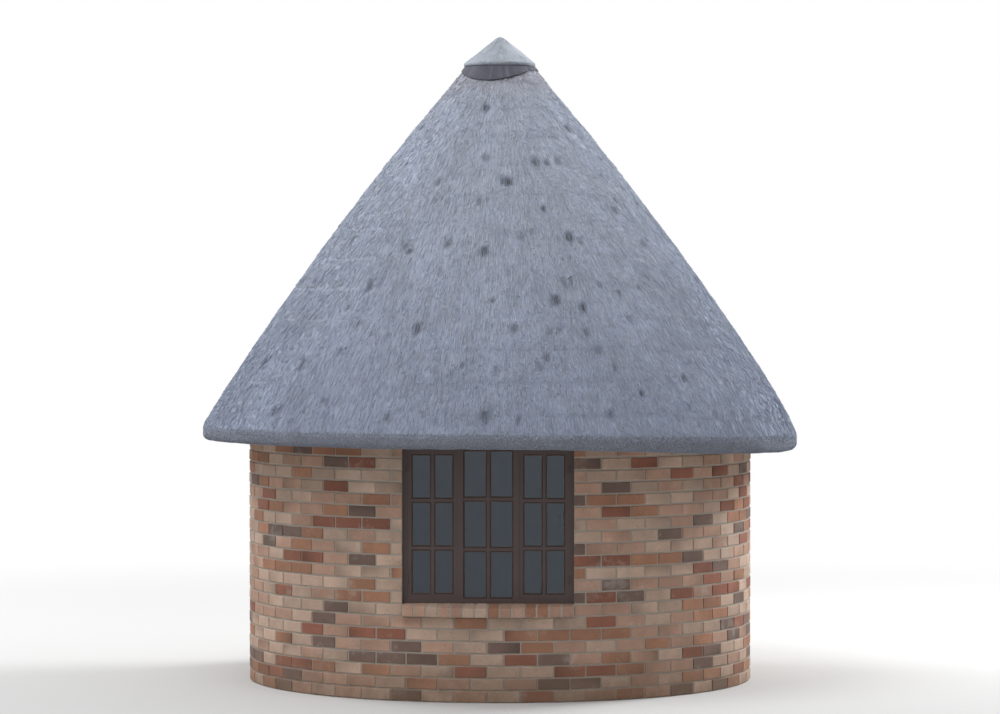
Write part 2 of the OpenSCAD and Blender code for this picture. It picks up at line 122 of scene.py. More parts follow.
@dataclass
class Pile:
    """Points, faces and tints that are gathered for one mesh."""

    points: list[np.ndarray] = field(default_factory=list)
    faces: list[np.ndarray] = field(default_factory=list)
    tints: list[np.ndarray] = field(default_factory=list)
    finish: list[np.ndarray] = field(default_factory=list)
    count: int = 0

    def add(self, points: np.ndarray, faces: list[np.ndarray], tint: Colour | np.ndarray = (1, 1, 1),
            finish: int = 0) -> None:
        """Adds one closed form.

        Args:
            points: Its points, one a row.
            faces: Arrays of point numbers, each with one face a row.
            tint: One colour, or one for each point.
            finish: Which of the mesh's materials its faces take.
        """
        self.points.append(points)
        self.faces.extend(face + self.count for face in faces)
        self.finish.extend(np.full(len(face), finish) for face in faces)
        self.tints.append(np.broadcast_to(np.asarray(tint, float), points.shape))
        self.count += len(points)

    def build(self, name: str, materials: list[bpy.types.Material], slot: str,
              rounded: bool = False) -> bpy.types.Object:
        """Makes the mesh, and lets it ride on the hut.

        Args:
            name: Name of the piece.
            materials: Its materials, in the order of the faces' finish numbers.
            slot: Name of a material slot; not used.
            rounded: Whether its faces are shaded smooth.

        Returns:
            The new object.
        """
        points = np.concatenate(self.points).astype(np.float32)
        sizes = np.concatenate([np.full(len(face), face.shape[1]) for face in self.faces])
        corners = np.concatenate([face.ravel() for face in self.faces]).astype(np.int32)
        mesh = bpy.data.meshes.new(name)
        mesh.vertices.add(len(points))
        mesh.vertices.foreach_set("co", points.ravel())
        mesh.loops.add(len(corners))
        mesh.loops.foreach_set("vertex_index", corners)
        mesh.polygons.add(len(sizes))
        mesh.polygons.foreach_set("loop_start", (np.cumsum(sizes) - sizes).astype(np.int32))
        mesh.polygons.foreach_set("material_index", np.concatenate(self.finish).astype(np.int32))
        mesh.polygons.foreach_set("use_smooth", np.full(len(sizes), rounded))
        tint = mesh.color_attributes.new("tint", "FLOAT_COLOR", "POINT")
        tint.data.foreach_set("color", np.column_stack(
            [np.concatenate(self.tints), np.ones(len(points))]).astype(np.float32).ravel())
        for material in materials:
            mesh.materials.append(material)
        mesh.update(calc_edges=True)
        piece = bpy.data.objects.new(name, mesh)
        bpy.context.scene.collection.objects.link(piece)
        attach(piece, BODY)
        triangles = int((sizes - 2).sum())
        LOG.info("%s: %d triangles", name, triangles)
        return piece


def chamfered_box(size: Point, chamfer: float) -> Mesh:
    """A closed box round the origin with bevelled edges and corners.

    Args:
        size: Its whole lengths along X, Y and Z.
        chamfer: Width that the bevel takes from each face.

    Returns:
        Its 24 points and its faces, as quads and triangles.
    """
    half = np.asarray(size, float) / 2
    signs = np.array([[x, y, z] for x in (-1, 1) for y in (-1, 1) for z in (-1, 1)])
    points = []
    for sign in signs:
        for axis in range(3):
            inset = np.full(3, chamfer)
            inset[axis] = 0.0
            points.append(sign * (half - inset))
    points = np.array(points)

    def turned(face: list[int]) -> list[int]:
        """The face, wound so that it looks outwards."""
        corners = points[face]
        normal = np.cross(corners[1] - corners[0], corners[2] - corners[1])
        return face if normal @ corners.mean(axis=0) > 0 else face[::-1]

    quads = []
    for axis in range(3):
        first, second = (a for a in range(3) if a != axis)
        for side in (-1, 1):
            ring = [(-1, -1), (1, -1), (1, 1), (-1, 1)]
            face = []
            for u, v in ring:
                want = np.zeros(3, int)
                want[axis], want[first], want[second] = side, u, v
                face.append(int(np.flatnonzero((signs == want).all(axis=1))[0]) * 3 + axis)
            quads.append(turned(face))
        for u in (-1, 1):
            for v in (-1, 1):
                ends = []
                for side in (-1, 1):
                    want = np.zeros(3, int)
                    want[axis], want[first], want[second] = side, u, v
                    ends.append(int(np.flatnonzero((signs == want).all(axis=1))[0]) * 3)
                quads.append(turned([ends[0] + first, ends[1] + first, ends[1] + second, ends[0] + second]))
    triangles = [turned([3 * k, 3 * k + 1, 3 * k + 2]) for k in range(8)]
    return points, [np.array(quads), np.array(triangles)]


def lathe(radius: np.ndarray, height: np.ndarray, columns: int,
          dent: np.ndarray | float = 0.0) -> Mesh:
    """A closed form turned round the Z axis, from its lowest point on the axis to its highest.

    Args:
        radius: Radius of each ring between the two end points.
        height: Height of each ring, with the two end points' heights before and after.
        columns: Points round each ring.
        dent: How far each point is moved inwards, one row a ring.

    Returns:
        Its points and its faces.
    """
    angles = np.arange(columns) * 2 * math.pi / columns
    shape = (len(radius), columns)
    reach = np.broadcast_to(radius[:, None] - dent, shape)
    level = np.broadcast_to(height[1:-1, None], shape)
    rings = np.stack([reach * np.cos(angles), reach * np.sin(angles), level], axis=-1)
    rings = rings.reshape(-1, 3)
    points = np.concatenate([rings, [[0, 0, height[0]], [0, 0, height[-1]]]])
    column = np.arange(columns)
    beside = (column + 1) % columns
    base = np.arange(len(radius) - 1)[:, None] * columns
    lower = [base + column, base + beside]
    upper = [base + columns + beside, base + columns + column]
    quads = np.stack([*lower, *upper], axis=-1)
    foot, tip = len(rings), len(rings) + 1
    last = (len(radius) - 1) * columns
    fans = np.concatenate([
        np.stack([beside, column, np.full(columns, foot)], axis=-1),
        np.stack([last + column, last + beside, np.full(columns, tip)], axis=-1)])
    return points, [quads.reshape(-1, 4), fans]


# Shader nodes


class Graph:
    """Adds shader nodes to one tree, and joins them."""

    def __init__(self, tree: bpy.types.NodeTree) -> None:
        """Keeps the tree that the nodes go into."""
        self.tree = tree

    def add(self, kind: str, inputs: dict[int | str, object] | None = None,
            **settings: object) -> bpy.types.Node:
        """Adds one node.

        Args:
            kind: Its type, without the words that all shader nodes start with.
            inputs: Values or sockets for its inputs.
            settings: Its own properties.

        Returns:
            The node.
        """
        node = self.tree.nodes.new("ShaderNode" + kind)
        for key, value in settings.items():
            setattr(node, key, value)
        for key, value in (inputs or {}).items():
            self.feed(node.inputs[key], value)
        return node

    def feed(self, socket: Socket, value: object) -> None:
        """Links a socket into an input, or sets the input's own value."""
        if isinstance(value, bpy.types.NodeSocket):
            self.tree.links.new(value, socket)
        elif isinstance(value, tuple) and socket.type == "RGBA":
            socket.default_value = (*value[:3], 1.0)
        else:
            socket.default_value = value

    def math(self, operation: str, first: object, second: object = 0.0) -> Socket:
        """The result of a sum with one or two numbers."""
        return self.add("Math", {0: first, 1: second}, operation=operation).outputs[0]

    def mix(self, share: object, first: object, second: object, blend: str = "MIX") -> Socket:
        """A colour between two, or one laid over the other."""
        inputs = {0: share, 6: first, 7: second}
        return self.add("Mix", inputs, data_type="RGBA", blend_type=blend).outputs[2]

    def between(self, value: object, start: float, end: float, first: float = 0.0,
                last: float = 1.0) -> Socket:
        """A value that goes from first to last as another goes from start to end."""
        return self.add("MapRange", {0: value, 1: start, 2: end, 3: first, 4: last}).outputs[0]

    def past(self, value: Socket, edge: float, width: float) -> Socket:
        """0 before an edge and 1 after it, blended over a width."""
        return self.between(value, edge - width / 2, edge + width / 2)

    def noise(self, vector: object, scale: object, detail: float = 3.0, roughness: float = 0.55) -> Socket:
        """Soft noise, about 0 to 1."""
        return self.add("TexNoise", {
            "Vector": vector, "Scale": scale, "Detail": detail, "Roughness": roughness}).outputs["Fac"]

    def place(self) -> Socket:
        """The point on the hut, in metres."""
        return self.add("TexCoord").outputs["Object"]

    def plan(self) -> Socket:
        """The point's place in plan, level with the ground."""
        parts = self.add("SeparateXYZ", {0: self.place()})
        return self.add("CombineXYZ", {0: parts.outputs[0], 1: parts.outputs[1], 2: 0.0}).outputs[0]

    def reach(self) -> Socket:
        """The point's distance from the hut's axis."""
        return self.add("VectorMath", {0: self.plan()}, operation="LENGTH").outputs["Value"]

    def height(self) -> Socket:
        """The point's height above the ground."""
        return self.add("SeparateXYZ", {0: self.place()}).outputs[2]

    def bump(self, height: object, distance: float) -> Socket:
        """A normal that a height field tilts."""
        return self.add("Bump", {"Height": height, "Strength": 1.0, "Distance": distance}).outputs["Normal"]

    def group(self, tree: bpy.types.NodeTree, inputs: dict[str, object]) -> bpy.types.Node:
        """Places a node group with its own values."""
        node = self.tree.nodes.new("ShaderNodeGroup")
        node.node_tree = tree
        for key, value in inputs.items():
            self.feed(node.inputs[key], value)
        return node


class Effects:
    """The node groups that more than one finish uses."""

    def __init__(self) -> None:
        """Builds each group once."""
        self.slope_fibre = self._slope_fibre()
        self.ring_fibre = self._ring_fibre()
        self.brushed = self._brushed()
        self.grit = self._grit()
        self.splash = self._splash()

    @staticmethod
    def _start(name: str, inputs: dict[str, tuple[str, float]], outputs: dict[str, str]
               ) -> tuple[bpy.types.NodeTree, Graph, bpy.types.Node, bpy.types.Node]:
        """Makes an empty group.

        Args:
            name: Its name.
            inputs: Kind and first value of each input.
            outputs: Kind of each output.

        Returns:
            The tree, its graph, and the nodes of its inputs and outputs.
        """
        tree = bpy.data.node_groups.new(name, "ShaderNodeTree")
        for key, (kind, value) in inputs.items():
            socket = tree.interface.new_socket(key, in_out="INPUT", socket_type="NodeSocket" + kind)
            if kind == "Float":
                socket.default_value = value
        for key, kind in outputs.items():
            tree.interface.new_socket(key, in_out="OUTPUT", socket_type="NodeSocket" + kind)
        return tree, Graph(tree), tree.nodes.new("NodeGroupInput"), tree.nodes.new("NodeGroupOutput")

    @staticmethod
    def _streaks(graph: Graph, given: bpy.types.Node, result: bpy.types.Node, vector: Socket) -> None:
        """Puts out streaks along given coordinates: a tone, and a height with splits.

        Args:
            graph: The group's graph.
            given: Node of its inputs, with a fineness and a spread.
            result: Node of its outputs.
            vector: The coordinates, short along the streaks.
        """
        fineness = given.outputs["Fineness"]
        broad = graph.noise(vector, graph.math("MULTIPLY", fineness, 0.25), 2.0)
        fine = graph.noise(vector, fineness, 3.0, 0.65)
        both = graph.math("ADD", graph.math("MULTIPLY", broad, 0.45), graph.math("MULTIPLY", fine, 0.55))
        swing = graph.math("MULTIPLY", graph.math("SUBTRACT", both, 0.5), given.outputs["Spread"])
        graph.feed(result.inputs["Tone"], graph.math("ADD", graph.math("MULTIPLY", swing, 2.0), 1.0))
        split = graph.between(broad, 0.30, 0.38)
        graph.feed(result.inputs["Height"], graph.math(
            "ADD", graph.math("MULTIPLY", fine, 0.5), graph.math("MULTIPLY", split, 0.5)))

    def _streak_group(self, name: str) -> tuple[bpy.types.NodeTree, Graph, bpy.types.Node, bpy.types.Node]:
        """Starts a group of streaks."""
        return self._start(
            name, {"Fineness": ("Float", 1.0), "Spread": ("Float", 0.3)},
            {"Tone": "Float", "Height": "Float"})

    def _slope_fibre(self) -> bpy.types.NodeTree:
        """Stalks or wood fibre down the roof: fine round the hut, long up and down it."""
        tree, graph, given, result = self._streak_group("slope_fibre")
        unit = graph.add("VectorMath", {0: graph.plan()}, operation="NORMALIZE").outputs[0]
        ends = graph.add("SeparateXYZ", {0: unit})
        down = graph.math("MULTIPLY", graph.height(), ALONG_GRAIN)
        vector = graph.add("CombineXYZ", {0: ends.outputs[0], 1: ends.outputs[1], 2: down}).outputs[0]
        self._streaks(graph, given, result, vector)
        return tree

    def _ring_fibre(self) -> bpy.types.NodeTree:
        """Wood fibre that runs round the hut."""
        tree, graph, given, result = self._streak_group("ring_fibre")
        unit = graph.add("VectorMath", {0: graph.plan()}, operation="NORMALIZE").outputs[0]
        short = graph.add("VectorMath", {0: unit, "Scale": 0.15}, operation="SCALE").outputs[0]
        slow = graph.add("SeparateXYZ", {0: short})
        across = graph.math("ADD", slow.outputs[0], graph.reach())
        vector = graph.add("CombineXYZ", {0: across, 1: slow.outputs[1], 2: graph.height()}).outputs[0]
        self._streaks(graph, given, result, vector)
        return tree

    def _brushed(self) -> bpy.types.NodeTree:
        """Upright brush marks."""
        tree, graph, given, result = self._streak_group("brushed")
        vector = graph.add(
            "VectorMath", {0: graph.place(), 1: (1.0, 1.0, ALONG_GRAIN)}, operation="MULTIPLY").outputs[0]
        self._streaks(graph, given, result, vector)
        return tree

    def _grit(self) -> bpy.types.NodeTree:
        """Mineral surface: a tone with patches and speckles, and a height with grains and pits."""
        tree, graph, given, result = self._start("grit", {
            "Vector": ("Vector", 0.0), "Patches": ("Float", 2.0), "Grains": ("Float", 300.0),
            "Spread": ("Float", 0.2)}, {"Tone": "Float", "Height": "Float"})
        patch = graph.noise(given.outputs["Vector"], given.outputs["Patches"], 4.0)
        grain = graph.noise(given.outputs["Vector"], given.outputs["Grains"], 2.0, 0.7)
        both = graph.math("ADD", graph.math("MULTIPLY", patch, 0.65), graph.math("MULTIPLY", grain, 0.35))
        swing = graph.math("MULTIPLY", graph.math("SUBTRACT", both, 0.5), given.outputs["Spread"])
        graph.feed(result.inputs["Tone"], graph.math("ADD", graph.math("MULTIPLY", swing, 2.0), 1.0))
        pits = graph.between(graph.noise(
            given.outputs["Vector"], graph.math("MULTIPLY", given.outputs["Grains"], 0.3), 2.0), 0.25, 0.42)
        graph.feed(result.inputs["Height"], graph.math(
            "ADD", graph.math("MULTIPLY", grain, 0.4), graph.math("MULTIPLY", pits, 0.6)))
        return tree

    def _splash(self) -> bpy.types.NodeTree:
        """Mask of the soil that rain throws up from the ground, patchy and thinner with height."""
        tree, graph, given, result = self._start("splash", {"Top": ("Float", 0.35)}, {"Mask": "Float"})
        share = graph.math("SUBTRACT", 1.0, graph.math("DIVIDE", graph.height(), given.outputs["Top"]))
        held = graph.between(share, 0.0, 1.0, 0.0, 0.85)
        patchy = graph.between(graph.noise(graph.place(), 11.0, 5.0, 0.65), 0.25, 0.75, 0.25, 1.0)
        graph.feed(result.inputs[0], graph.math("MULTIPLY", held, patchy))
        return tree


# Finishes


SOIL: Colour = seen(128, 104, 84)


class Run(Enum):
    """Which way the grain of a piece runs."""

    DOWN_THE_ROOF = "slope"
    ROUND_THE_HUT = "ring"


@dataclass(frozen=True)
class Grit:
    """Sizes of a mineral surface.

    Attributes:
        patches: Clouds to a metre.
        grains: Grains to a metre.
        spread: How far both make the tone swing.
    """

    patches: float = 2.0
    grains: float = 300.0
    spread: float = 0.2


@dataclass(frozen=True)
class Finish:
    """What every finish has: a name, a colour and a roughness."""

    name: str
    colour: Colour
    roughness: float = 0.9

    def start(self, gloss: float = 0.3) -> tuple[bpy.types.Material, Graph, bpy.types.Node]:
        """Makes the material.

        Args:
            gloss: Strength of its plain reflection.

        Returns:
            The material, its graph and its shader.
        """
        material = bpy.data.materials.new(self.name)
        material.use_nodes = True
        graph = Graph(material.node_tree)
        shader = material.node_tree.nodes["Principled BSDF"]
        shader.inputs["Roughness"].default_value = self.roughness
        shader.inputs["Specular IOR Level"].default_value = gloss
        return material, graph, shader

    def toned(self, graph: Graph, tone: Socket, base: object = None) -> Socket:
        """The finish's colour, or another, made lighter and darker by a tone."""
        grey = graph.add("CombineColor", {0: tone, 1: tone, 2: tone}).outputs[0]
        return graph.mix(1.0, self.colour if base is None else base, grey, "MULTIPLY")

    @staticmethod
    def gritty(graph: Graph, effects: Effects, grit: Grit) -> bpy.types.Node:
        """Places the mineral surface with its own sizes."""
        return graph.group(effects.grit, {
            "Vector": graph.place(), "Patches": grit.patches, "Grains": grit.grains, "Spread": grit.spread})

    @staticmethod
    def tints(graph: Graph) -> Socket:
        """The mesh's own tints."""
        return graph.add("VertexColor", layer_name="tint").outputs["Color"]


@dataclass(frozen=True)
class Masonry(Finish):
    """Mortar, concrete, plaster or putty: patchy and gritty."""

    grit: Grit = Grit()
    depth: float = 0.0015

    def make(self, effects: Effects) -> bpy.types.Material:
        """Builds the material."""
        material, graph, shader = self.start()
        surface = self.gritty(graph, effects, self.grit)
        graph.feed(shader.inputs["Base Color"], self.toned(graph, surface.outputs["Tone"]))
        graph.feed(shader.inputs["Normal"], graph.bump(surface.outputs["Height"], self.depth))
        return material


@dataclass(frozen=True)
class FaceBrick(Finish):
    """Fired clay with the mesh's own tints, and soil splashed low down.

    Attributes:
        grit: Sizes of its clouds and grains.
        spot: Colour of its iron spots.
        spots: Iron spots to a metre.
        bloom: Colour of the lime that has come out of it.
        blooms: Patches of lime to a metre.
        drags: Drag marks to a metre of height.
        dragged: Their height over their length.
        soil_top: Height that the soil reaches.
        depth: Height of its relief.
    """

    grit: Grit = Grit(9.0, 420.0, 0.36)
    spot: Colour = seen(84, 60, 52)
    spots: float = 120.0
    bloom: Colour = seen(206, 198, 190)
    blooms: float = 4.0
    drags: float = 260.0
    dragged: float = 0.12
    soil_top: float = 0.35
    depth: float = 0.003

    def make(self, effects: Effects) -> bpy.types.Material:
        """Builds the material."""
        material, graph, shader = self.start()
        place = graph.place()
        surface = self.gritty(graph, effects, self.grit)
        face = self.toned(graph, surface.outputs["Tone"], self.tints(graph))
        spotted = graph.between(graph.noise(place, self.spots, 2.0), 0.64, 0.72, 0.0, 0.75)
        face = graph.mix(spotted, face, self.spot)
        limed = graph.between(graph.noise(place, self.blooms, 6.0, 0.75), 0.55, 0.75, 0.0, 0.42)
        face = graph.mix(limed, face, self.bloom)
        soiled = graph.group(effects.splash, {"Top": self.soil_top}).outputs[0]
        graph.feed(shader.inputs["Base Color"], graph.mix(soiled, face, SOIL))
        along = graph.add(
            "VectorMath", {0: place, 1: (self.dragged, self.dragged, 1.0)}, operation="MULTIPLY").outputs[0]
        drag = graph.noise(along, self.drags, 3.0, 0.7)
        height = graph.math("ADD", surface.outputs["Height"], graph.math("MULTIPLY", drag, 0.6))
        graph.feed(shader.inputs["Roughness"], graph.between(
            surface.outputs["Tone"], 0.7, 1.3, self.roughness - 0.12, self.roughness + 0.1))
        graph.feed(shader.inputs["Normal"], graph.bump(height, self.depth))
        return material


@dataclass(frozen=True)
class Trowelled(Finish):
    """Mortar laid by hand: trowel marks round the hut, stains, hairline cracks and grit.

    Attributes:
        grit: Sizes of its clouds and grains.
        stain: Colour of its stains and cracks.
        marks: Fineness of the trowel marks.
        runs: Fineness of the stains that rain has run down it.
        cracks: Cracked fields to a metre.
        depth: Height of its relief.
    """

    grit: Grit = Grit(7.0, 160.0, 0.30)
    stain: Colour = seen(104, 104, 108)
    marks: float = 26.0
    runs: float = 9.0
    cracks: float = 6.0
    depth: float = 0.005

    def make(self, effects: Effects) -> bpy.types.Material:
        """Builds the material."""
        material, graph, shader = self.start()
        surface = self.gritty(graph, effects, self.grit)
        marks = graph.group(effects.ring_fibre, {"Fineness": self.marks, "Spread": 0.16})
        runs = graph.group(effects.slope_fibre, {"Fineness": self.runs, "Spread": 1.0})
        tone = graph.math("MULTIPLY", surface.outputs["Tone"], marks.outputs["Tone"])
        stained = graph.between(runs.outputs["Tone"], 0.95, 0.55, 0.0, 0.55)
        face = graph.mix(stained, self.toned(graph, tone), self.stain)
        crack = self._crack(graph)
        graph.feed(shader.inputs["Base Color"], graph.mix(
            graph.math("MULTIPLY", crack, 0.75), face, self.stain))
        marked = graph.math("MULTIPLY", marks.outputs["Height"], 0.8)
        raised = graph.math("ADD", marked, surface.outputs["Height"])
        graph.feed(shader.inputs["Normal"], graph.bump(graph.math("SUBTRACT", raised, crack), self.depth))
        return material

    def _crack(self, graph: Graph) -> Socket:
        """Mask of wandering hairline cracks, which show in some places only."""
        place = graph.place()
        wander = graph.add("TexNoise", {"Vector": place, "Scale": 14.0, "Detail": 3.0}).outputs["Color"]
        bent = graph.add("VectorMath", {0: place, 1: wander}, operation="ADD").outputs[0]
        cell = graph.add("TexVoronoi", {"Vector": bent, "Scale": self.cracks}, feature="DISTANCE_TO_EDGE")
        crack = graph.between(cell.outputs["Distance"], 0.004, 0.016, 1.0, 0.0)
        here = graph.between(graph.noise(place, 5.0, 1.0), 0.42, 0.55)
        return graph.math("MULTIPLY", crack, here)


@dataclass(frozen=True)
class Felt(Finish):
    """Bitumen felt pressed down by hand: mineral grains, long creases and dust in runs."""

    grit: Grit = Grit(14.0, 500.0, 0.4)
    creases: float = 16.0
    dust: Colour = seen(132, 132, 140)
    depth: float = 0.004

    def make(self, effects: Effects) -> bpy.types.Material:
        """Builds the material."""
        material, graph, shader = self.start()
        surface = self.gritty(graph, effects, self.grit)
        creases = graph.group(effects.slope_fibre, {"Fineness": self.creases, "Spread": 0.6})
        dusty = graph.between(creases.outputs["Tone"], 1.0, 1.3, 0.0, 0.5)
        graph.feed(shader.inputs["Base Color"], graph.mix(
            dusty, self.toned(graph, surface.outputs["Tone"]), self.dust))
        creased = graph.math("MULTIPLY", creases.outputs["Height"], 2.5)
        raised = graph.math("ADD", creased, surface.outputs["Height"])
        graph.feed(shader.inputs["Normal"], graph.bump(raised, self.depth))
        return material


@dataclass(frozen=True)
class WallFinish(Finish):
    """Mortar on the outside of the wall, with soil splashed low down, and plaster on the inside.

    Attributes:
        inside: Colour of the plaster.
        parting: Radius at which mortar and plaster meet.
        grit: Sizes of their clouds and grains.
        soil_top: Height that the soil reaches.
        depth: Height of their relief.
    """

    inside: Colour = (0.6, 0.56, 0.5)
    parting: float = 1.7
    grit: Grit = Grit(3.0, 260.0, 0.3)
    soil_top: float = 0.35
    depth: float = 0.002

    def make(self, effects: Effects) -> bpy.types.Material:
        """Builds the material."""
        material, graph, shader = self.start()
        outside = graph.past(graph.reach(), self.parting, 0.004)
        surface = self.gritty(graph, effects, self.grit)
        base = graph.mix(outside, self.inside, self.colour)
        plain = self.toned(graph, surface.outputs["Tone"], base)
        splash = graph.group(effects.splash, {"Top": self.soil_top}).outputs[0]
        graph.feed(shader.inputs["Base Color"], graph.mix(splash, plain, SOIL))
        graph.feed(shader.inputs["Normal"], graph.bump(surface.outputs["Height"], self.depth))
        return material


@dataclass(frozen=True)
class Stalks(Finish):
    """Thatching grass: streaks down the roof in weathered patches.

    Attributes:
        spread: How far the streaks make the tone swing.
        depth: Height of the streaks.
        tinted: Whether the colour comes from the mesh's own tints.
        weather: Sizes of the weathered patches.
        fineness: Streaks round the hut.
    """

    spread: float = 0.35
    depth: float = 0.003
    tinted: bool = False
    weather: Grit = Grit(9.0, 30.0, 0.30)
    fineness: float = 240.0

    def make(self, effects: Effects) -> bpy.types.Material:
        """Builds the material."""
        material, graph, shader = self.start()
        fibre = graph.group(effects.slope_fibre, {"Fineness": self.fineness, "Spread": self.spread})
        patches = self.gritty(graph, effects, self.weather)
        tone = graph.math("MULTIPLY", fibre.outputs["Tone"], patches.outputs["Tone"])
        base = self.tints(graph) if self.tinted else None
        graph.feed(shader.inputs["Base Color"], self.toned(graph, tone, base))
        graph.feed(shader.inputs["Normal"], graph.bump(fibre.outputs["Height"], self.depth))
        return material


@dataclass(frozen=True)
class CutEnds(Finish):
    """The dressed face of the eave: the ends of stalks, so many to a metre, with painted shade in the gaps
    between them.
    """

    # Colour of the gaps between the cut ends: painted shade
    gap: Colour = seen(120, 123, 133)
    stalks: float = 130.0
    grit: Grit = Grit(9.0, 200.0, 0.5)
    depth: float = 0.004

    def make(self, effects: Effects) -> bpy.types.Material:
        """Builds the material."""
        material, graph, shader = self.start()
        cell = graph.add("TexVoronoi", {"Vector": graph.place(), "Scale": self.stalks})
        gap = graph.between(cell.outputs["Distance"], 0.25, 0.6)
        surface = self.gritty(graph, effects, self.grit)
        ends = self.toned(graph, surface.outputs["Tone"])
        graph.feed(shader.inputs["Base Color"], graph.mix(gap, ends, self.gap))
        graph.feed(shader.inputs["Normal"], graph.bump(graph.math("SUBTRACT", 1.0, gap), self.depth))
        return material


@dataclass(frozen=True)
class Wood(Finish):
    """Peeled pole or sapling, dry and checked, with grain along the piece.

    Attributes:
        run: Which way the grain runs.
        spread: How far the grain makes the tone swing.
        fineness: Fineness of the grain.
        knot: Colour of the knots.
        knots: Places to a metre that may hold a knot.
        depth: Height of the grain.
    """

    run: Run = Run.DOWN_THE_ROOF
    spread: float = 0.5
    fineness: float = 220.0
    knot: Colour = (0.12, 0.08, 0.05)
    knots: float = 9.0
    depth: float = 0.003

    def make(self, effects: Effects) -> bpy.types.Material:
        """Builds the material."""
        material, graph, shader = self.start()
        streaks = effects.slope_fibre if self.run is Run.DOWN_THE_ROOF else effects.ring_fibre
        fibre = graph.group(streaks, {"Fineness": self.fineness, "Spread": self.spread})
        knots = graph.between(graph.noise(graph.place(), self.knots, 1.0), 0.70, 0.78)
        wood = self.toned(graph, fibre.outputs["Tone"])
        graph.feed(shader.inputs["Base Color"], graph.mix(knots, wood, self.knot))
        graph.feed(shader.inputs["Normal"], graph.bump(fibre.outputs["Height"], self.depth))
        return material


@dataclass(frozen=True)
class Paint(Finish):
    """Brushed paint over wood or steel, worn through in places.

    Attributes:
        under: Colour of what shows where it is worn.
        wear: How far it is worn, 0 to 1.
        dust: Colour of the dust on its lower part.
        dust_top: Height that the dust reaches, or 0 for none.
        room: Its colour on the room's side, if that is another.
        parting: Place along Y at which the two colours meet.
        brush: Fineness of the brush marks.
        grit: Sizes of its clouds and grains.
        depth: Height of the brush marks.
    """

    under: Colour = (0.2, 0.14, 0.1)
    wear: float = 0.3
    dust: Colour = (0.35, 0.27, 0.21)
    dust_top: float = 0.0
    room: Colour | None = None
    parting: float = 0.0
    brush: float = 220.0
    grit: Grit = Grit(6.0, 120.0, 0.25)
    depth: float = 0.0006

    def make(self, effects: Effects) -> bpy.types.Material:
        """Builds the material."""
        material, graph, shader = self.start()
        place = graph.place()
        marks = graph.group(effects.brushed, {"Fineness": self.brush, "Spread": 0.12})
        surface = self.gritty(graph, effects, self.grit)
        base = None
        if self.room is not None:
            depth = graph.add("SeparateXYZ", {0: place}).outputs[1]
            base = graph.mix(graph.past(depth, self.parting, 0.002), self.room, self.colour)
        tone = graph.math("MULTIPLY", marks.outputs["Tone"], surface.outputs["Tone"])
        coat = self.toned(graph, tone, base)
        edge = 0.73 - 0.12 * self.wear
        chips = graph.past(graph.noise(place, 38.0, 6.0, 0.7), edge, 0.02)
        worn = graph.mix(chips, coat, self.under)
        if self.dust_top:
            dusty = graph.group(effects.splash, {"Top": self.dust_top}).outputs[0]
            worn = graph.mix(dusty, worn, self.dust)
        graph.feed(shader.inputs["Base Color"], worn)
        graph.feed(shader.inputs["Roughness"], graph.between(
            surface.outputs["Tone"], 0.7, 1.3, self.roughness - 0.08, self.roughness + 0.12))
        graph.feed(shader.inputs["Normal"], graph.bump(marks.outputs["Height"], self.depth))
        return material


@dataclass(frozen=True)
class Metal(Finish):
    """Bare steel with fine brushing and finger marks."""

    grit: Grit = Grit(40.0, 900.0, 0.2)

    def make(self, effects: Effects) -> bpy.types.Material:
        """Builds the material."""
        material, graph, shader = self.start()
        shader.inputs["Metallic"].default_value = 1.0
        surface = self.gritty(graph, effects, self.grit)
        graph.feed(shader.inputs["Base Color"], self.toned(graph, surface.outputs["Tone"]))
        graph.feed(shader.inputs["Roughness"], graph.between(
            surface.outputs["Tone"], 0.8, 1.2, self.roughness - 0.1, self.roughness + 0.15))
        return material


@dataclass(frozen=True)
class Glass(Finish):
    """Window glass with a little dust, and a weak gloss; the bluish tint of its gloss and of its body is
    painted sky light.
    """

    # Bluish tint of the gloss: painted sky light
    sky: Colour = (0.80, 0.88, 1.0)
    bend: float = 1.5
    grit: Grit = Grit(5.0, 90.0, 0.6)
    gloss: float = 0.18

    def make(self, effects: Effects) -> bpy.types.Material:
        """Builds the material."""
        material, graph, shader = self.start(self.gloss)
        shader.inputs["Transmission Weight"].default_value = 1.0
        shader.inputs["IOR"].default_value = self.bend
        shader.inputs["Specular Tint"].default_value = (*self.sky, 1.0)
        shader.inputs["Base Color"].default_value = (*self.colour, 1.0)
        surface = self.gritty(graph, effects, self.grit)
        graph.feed(shader.inputs["Roughness"], graph.between(
            surface.outputs["Tone"], 0.7, 1.5, self.roughness, self.roughness + 0.03))
        return material


# Roof


def sampled(grid: np.ndarray, x: np.ndarray, y: np.ndarray) -> np.ndarray:
    """Values between a grid's own, where the first axis closes on itself.

    Args:
        grid: The values.
        x: Places along the first axis, in cells.
        y: Places along the second axis, in cells.

    Returns:
        The values at the places.
    """
    i, j = np.floor(x).astype(int) % len(grid), np.floor(y).astype(int)
    s, t = smooth(x - np.floor(x)), smooth(y - j)
    k = (i + 1) % len(grid)
    return (grid[i, j] * (1 - s) * (1 - t) + grid[k, j] * s * (1 - t)
            + grid[i, j + 1] * (1 - s) * t + grid[k, j + 1] * s * t)


